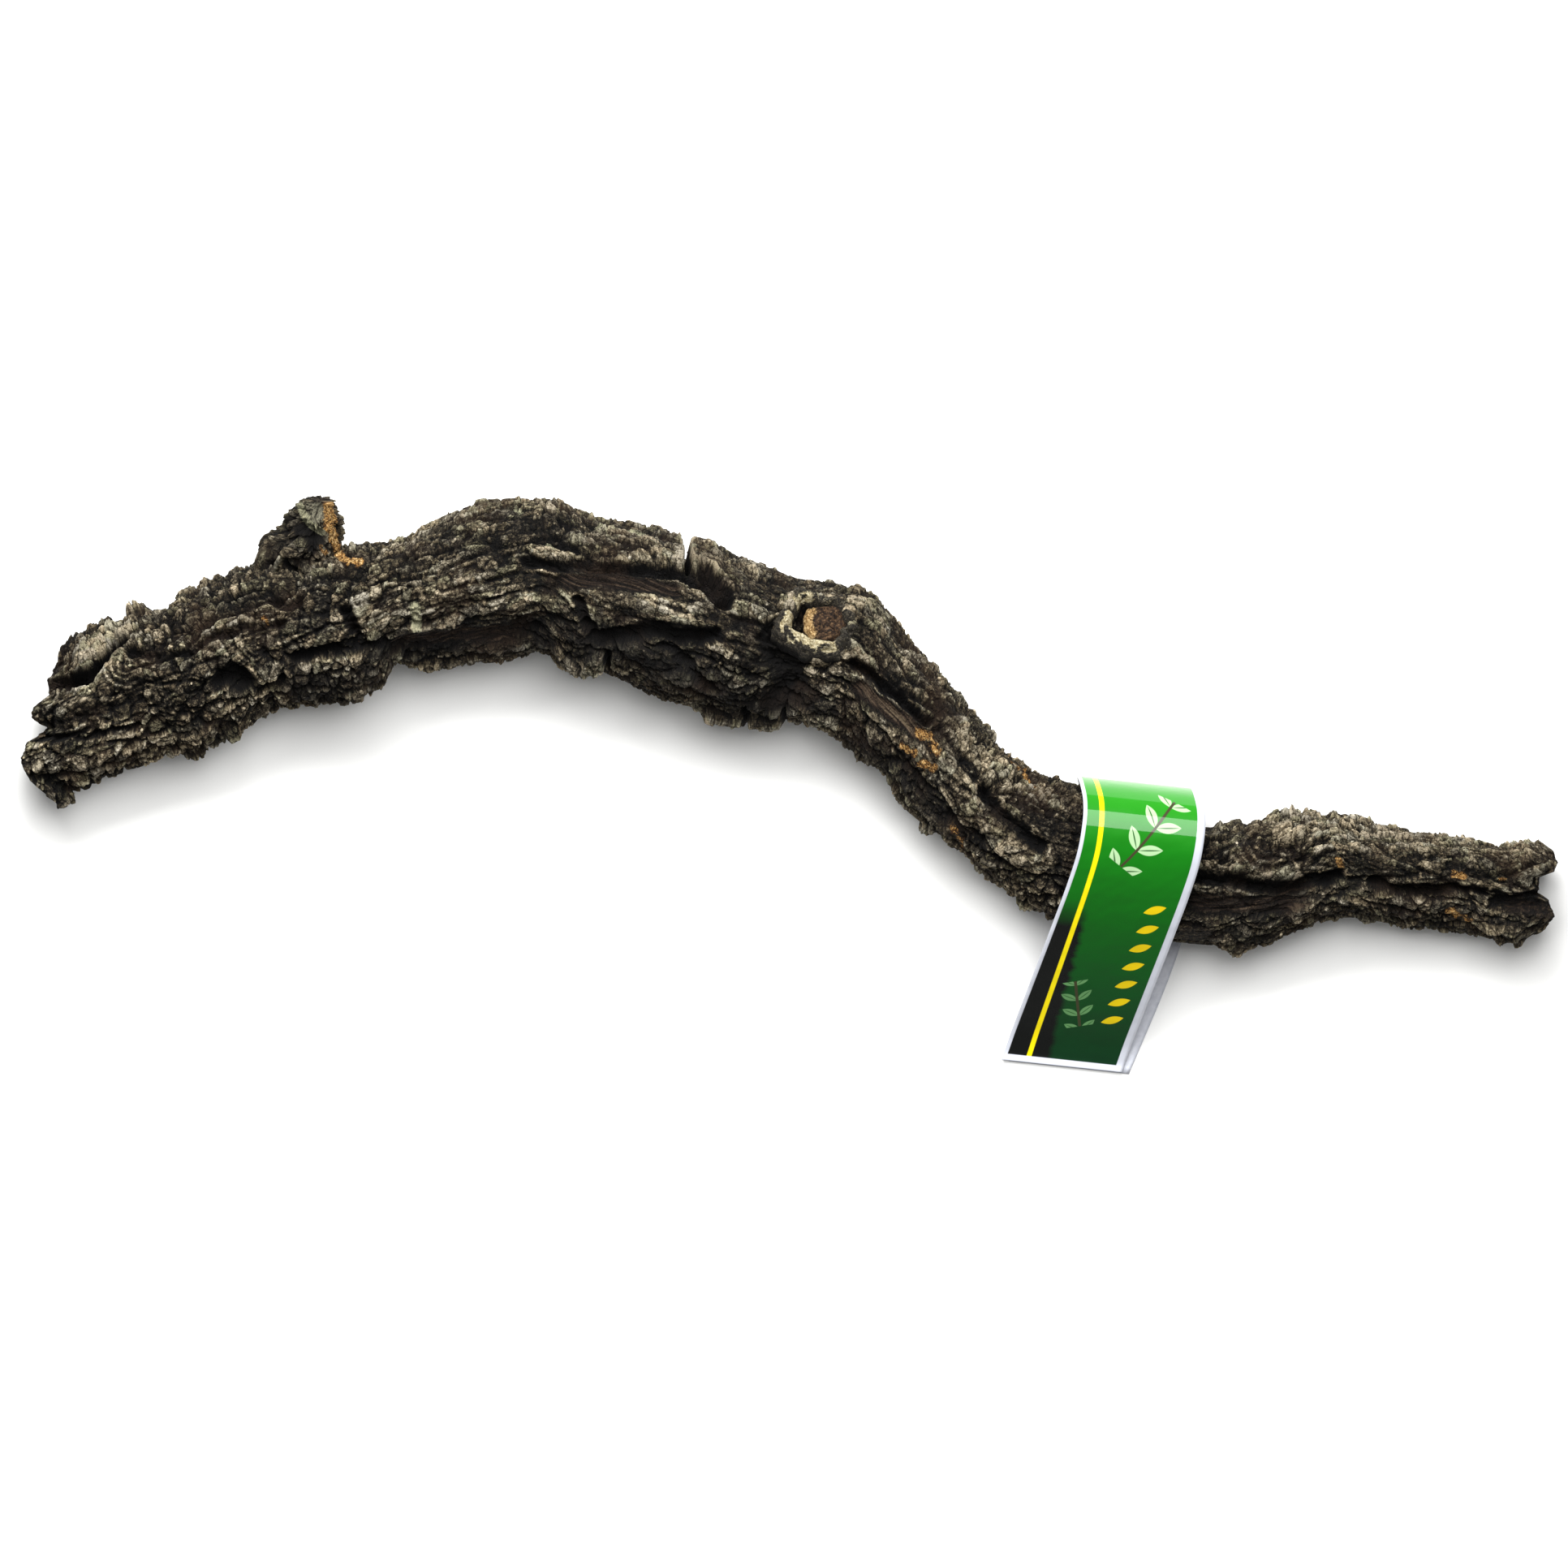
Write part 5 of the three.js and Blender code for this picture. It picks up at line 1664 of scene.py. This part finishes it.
strip = make_piece(
    "printed_card_strip",
    np.vstack([strip_rings.reshape(-1, 3), [strip_rings[0].mean(axis=0)], [strip_rings[-1].mean(axis=0)]]),
    strip_faces,
)
across_mm = np.concatenate([across_share, across_share[::-1]]) * STRIP_WIDTH_MM
point_across = np.concatenate([np.tile(across_mm, STRIP_STEPS), [STRIP_WIDTH_MM / 2] * 2])
point_along = np.concatenate([np.repeat(strip_length, STRIP_SIDES), [0, strip_length[-1]]])
corner_points = np.empty(len(strip.data.loops), dtype=np.int32)
strip.data.loops.foreach_get("vertex_index", corner_points)
print_map = strip.data.uv_layers.new(name="print_mm")
corner_places = np.column_stack([point_across[corner_points], point_along[corner_points]])
print_map.data.foreach_set("uv", corner_places.astype(np.float32).ravel())

# Laminated card, printed: ink under a clear glossy film
printed, tree, shader = make_material(
    "printed card under clear film",
    {
        "Roughness": 0.4,
        "IOR": 1.5,
        "Specular IOR Level": 0.05,
        "Coat Weight": 0.75,
        "Coat Roughness": 0.05,
        "Coat IOR": 1.5,
    },
)
print_place = add_node(tree, "ShaderNodeUVMap", uv_map="print_mm").outputs[0]
across_value, along_value = add_node(tree, "ShaderNodeSeparateXYZ", {0: print_place}).outputs[:2]


def inside(tree, value, low, high):
    """1 where a value lies between low and high, with edges as soft as ink."""
    above, below = (
        add_node(
            tree, "ShaderNodeMapRange", {"Value": value, "From Min": edge - blur, "From Max": edge + blur}
        ).outputs[0]
        for edge, blur in ((low, INK_BLUR_MM), (high, -INK_BLUR_MM))
    )
    return add_node(tree, "ShaderNodeMath", {0: above, 1: below}, operation="MULTIPLY").outputs[0]


def leaf(tree, x, y, half_length, half_width, turn_degrees):
    """1 inside a pointed leaf at the origin of x and y, turned from the y axis."""
    leaf_place = add_node(
        tree,
        "ShaderNodeMapping",
        {
            "Vector": add_node(tree, "ShaderNodeCombineXYZ", {0: x, 1: y}).outputs[0],
            "Rotation": (0, 0, -math.radians(turn_degrees)),
            "Scale": (half_width, half_length, 1),
        },
        vector_type="TEXTURE",
    ).outputs[0]
    sideways, lengthways = add_node(tree, "ShaderNodeSeparateXYZ", {0: leaf_place}).outputs[:2]
    sideways = add_node(tree, "ShaderNodeMath", {0: sideways}, operation="ABSOLUTE").outputs[0]
    # 1 on the leaf's edge and less inside it
    reach = add_node(
        tree, "ShaderNodeMath", {0: lengthways, 1: lengthways, 2: sideways}, operation="MULTIPLY_ADD"
    ).outputs[0]
    blur = INK_BLUR_MM / half_width
    return add_node(
        tree, "ShaderNodeMapRange", {"Value": reach, "From Min": 1 + blur, "From Max": 1 - blur}
    ).outputs[0]


fold_share = add_node(tree, "ShaderNodeMath", {0: along_value, 1: FOLD_MM}, operation="DIVIDE").outputs[0]
ink = add_node(
    tree,
    "ShaderNodeValToRGB",
    {"Fac": fold_share},
    stops=[
        (0.02, "#002A10"),
        (0.25, "#004512"),
        (0.5, "#025A08"),
        (0.72, "#0A7208"),
        (0.86, "#248A18"),
        (1.0, "#3A9A2C"),
    ],
).outputs[0]

# A black field left of the stripe, wider towards the end of the tail
waves = add_node(
    tree, "ShaderNodeTexNoise", {"W": along_value, "Scale": 0.16, "Detail": 3}, noise_dimensions="1D"
).outputs[0]
black_across = across_value
for part, weight in ((waves, -BLACK_WAVES_MM), (along_value, BLACK_NARROWING)):
    black_across = add_node(
        tree, "ShaderNodeMath", {0: part, 1: weight, 2: black_across}, operation="MULTIPLY_ADD"
    ).outputs[0]
black_beside, black_along = (
    add_node(
        tree, "ShaderNodeMapRange", {"Value": value, "From Min": edge + blur, "From Max": edge - blur}
    ).outputs[0]
    for value, edge, blur in (
        (black_across, BLACK_EDGE_MM, BLACK_EDGE_BLUR_MM),
        (along_value, BLACK_TO_MM, BLACK_TO_BLUR_MM),
    )
)
black_field = add_node(
    tree, "ShaderNodeMath", {0: black_beside, 1: black_along}, operation="MULTIPLY"
).outputs[0]
ink_layers = [(black_field, "#050705")]

# A twig with pairs of leaves near the fold, and a small one near the tail
for twig_across, twig_along, twig_length, lean_degrees, pitch, leaf_colour in TWIGS:
    twig_place = add_node(
        tree,
        "ShaderNodeMapping",
        {
            "Vector": print_place,
            "Location": (twig_across, twig_along, 0),
            "Rotation": (0, 0, -math.radians(lean_degrees)),
        },
        vector_type="TEXTURE",
    ).outputs[0]
    twig_x, twig_y = add_node(tree, "ShaderNodeSeparateXYZ", {0: twig_place}).outputs[:2]
    on_twig = inside(tree, twig_y, -twig_length / 2, twig_length / 2)
    stalk = inside(tree, twig_x, -0.55, 0.55)
    beside = add_node(tree, "ShaderNodeMath", {0: twig_x}, operation="ABSOLUTE").outputs[0]
    beside = add_node(tree, "ShaderNodeMath", {0: beside, 1: pitch * 0.36}, operation="SUBTRACT").outputs[0]
    in_pair = add_node(tree, "ShaderNodeMath", {0: twig_y, 1: pitch}, operation="FLOORED_MODULO").outputs[0]
    in_pair = add_node(tree, "ShaderNodeMath", {0: in_pair, 1: pitch / 2}, operation="SUBTRACT").outputs[0]
    leaves = leaf(tree, beside, in_pair, pitch * 0.46, pitch * 0.19, TWIG_LEAF_DEGREES)
    midrib = leaf(tree, beside, in_pair, pitch * 0.42, pitch * 0.025, TWIG_LEAF_DEGREES)
    for part, part_colour in ((leaves, leaf_colour), (midrib, "#2C5A2A"), (stalk, "#3B3A22")):
        share = add_node(tree, "ShaderNodeMath", {0: on_twig, 1: part}, operation="MULTIPLY").outputs[0]
        ink_layers.append((share, part_colour))

# A row of plain yellow leaves along the right
row_x = add_node(tree, "ShaderNodeMath", {0: across_value, 1: LEAF_ROW_MM}, operation="SUBTRACT").outputs[0]
row_y = add_node(
    tree, "ShaderNodeMath", {0: along_value, 1: LEAF_ROW_PITCH_MM}, operation="FLOORED_MODULO"
).outputs[0]
row_y = add_node(
    tree, "ShaderNodeMath", {0: row_y, 1: LEAF_ROW_PITCH_MM / 2}, operation="SUBTRACT"
).outputs[0]
row_leaf = leaf(tree, row_x, row_y, 4.3, 1.9, 66)
in_row = inside(tree, along_value, *LEAF_ROW_SPAN_MM)
row = add_node(tree, "ShaderNodeMath", {0: row_leaf, 1: in_row}, operation="MULTIPLY").outputs[0]
ink_layers.append((row, "#E2C400"))

# The stripe, then the unprinted border under the film
stripe_across = add_node(
    tree,
    "ShaderNodeMath",
    {0: along_value, 1: STRIPE_SHIFT_MM / FOLD_MM, 2: across_value},
    operation="MULTIPLY_ADD",
).outputs[0]
stripe = inside(
    tree, stripe_across, STRIPE_START_MM - STRIPE_WIDTH_MM / 2, STRIPE_START_MM + STRIPE_WIDTH_MM / 2
)
ink_layers.append((stripe, "#F6E000"))
for share, layer_colour in ink_layers:
    ink = add_node(
        tree, "ShaderNodeMix", {"Factor": share, 6: ink, 7: linear(layer_colour)}, data_type="RGBA"
    ).outputs[2]
on_print = add_node(
    tree,
    "ShaderNodeMath",
    {
        0: inside(tree, across_value, PRINT_LEFT_MM, PRINT_RIGHT_MM),
        1: inside(tree, along_value, PRINT_END_MM, float(strip_length[-1]) - PRINT_END_MM),
    },
    operation="MULTIPLY",
).outputs[0]
ink = add_node(
    tree, "ShaderNodeMix", {"Factor": on_print, 6: linear("#C4C7D0"), 7: ink}, data_type="RGBA"
).outputs[2]
tree.links.new(ink, shader.inputs["Base Color"])
film_ripple = add_node(
    tree, "ShaderNodeTexNoise", {"Vector": print_place, "Scale": 0.06, "Detail": 2}
).outputs[0]
bump = add_node(tree, "ShaderNodeBump", {"Height": film_ripple, "Distance": 0.0012}).outputs[0]
tree.links.new(bump, shader.inputs["Normal"])

# The unprinted back of the card and the edges of the film: bluish white, less glossy
unprinted, tree, shader = make_material(
    "white card under clear film",
    {"Roughness": 0.4, "IOR": 1.5, "Coat Weight": 0.4, "Coat Roughness": 0.15},
)
print_place = add_node(tree, "ShaderNodeUVMap", uv_map="print_mm").outputs[0]
fibre_tone = add_node(
    tree, "ShaderNodeTexNoise", {"Vector": print_place, "Scale": 0.5, "Detail": 3}
).outputs[0]
white = add_node(
    tree, "ShaderNodeValToRGB", {"Fac": fibre_tone}, stops=[(0.3, "#BCBFC9"), (0.7, "#CBCED6")]
).outputs[0]
tree.links.new(white, shader.inputs["Base Color"])
strip.data.materials.append(unprinted)
strip.data.materials.append(printed)
side_of_face = np.array([face[0] % STRIP_SIDES for face in strip_faces])
is_wall = np.arange(len(strip_faces)) < (STRIP_STEPS - 1) * STRIP_SIDES
on_outer = is_wall & (side_of_face > STRIP_ACROSS_STEPS) & (side_of_face < STRIP_SIDES - 1)
strip.data.polygons.foreach_set("material_index", on_outer.astype(np.int32))
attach(strip, "root")
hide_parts("label_strip")


# Floor and light
# A pale matt sheet, a key light beyond the far side of the branch, a broad panel above that also draws the
# band of gloss on the card strip, and weak, even light from all round.
FLOOR_M = 3
SURROUNDING_LIGHT = 0.27

floor_corners = [(x * FLOOR_M, y * FLOOR_M, 0) for x, y in ((-1, -1), (1, -1), (1, 1), (-1, 1))]
floor_mesh = bpy.data.meshes.new("floor")
floor_mesh.from_pydata(floor_corners, [], [(0, 1, 2, 3)])
floor = bpy.data.objects.new("floor", floor_mesh)
bpy.context.scene.collection.objects.link(floor)
paper = make_material("pale matt paper", {"Base Color": linear("#F4F4F2"), "Roughness": 0.95})[0]
floor_mesh.materials.append(paper)


def add_area_light(name, place_m, target_m, width, height, watts):
    """A rectangular soft light that looks at a target."""
    data = bpy.data.lights.new(name, "AREA")
    data.shape = "RECTANGLE"
    data.size = width
    data.size_y = height
    data.energy = watts
    light = bpy.data.objects.new(name, data)
    light.location = place_m
    way = Vector(target_m) - Vector(place_m)
    light.rotation_euler = way.to_track_quat("-Z", "Y").to_euler()
    bpy.context.scene.collection.objects.link(light)


add_area_light("key", place_m=(-0.25, 0.75, 0.85), target_m=(0, 0, 0), width=0.9, height=0.45, watts=15)
add_area_light(
    "panel", place_m=(0.13, 0.46, 1.18), target_m=(0.13, 0.0, 0.05), width=0.9, height=0.95, watts=19
)
world = bpy.data.worlds.new("studio")
bpy.context.scene.world = world
world.use_nodes = True
background = world.node_tree.nodes["Background"]
background.inputs["Color"].default_value = linear("#FFFFFF")
background.inputs["Strength"].default_value = SURROUNDING_LIGHT
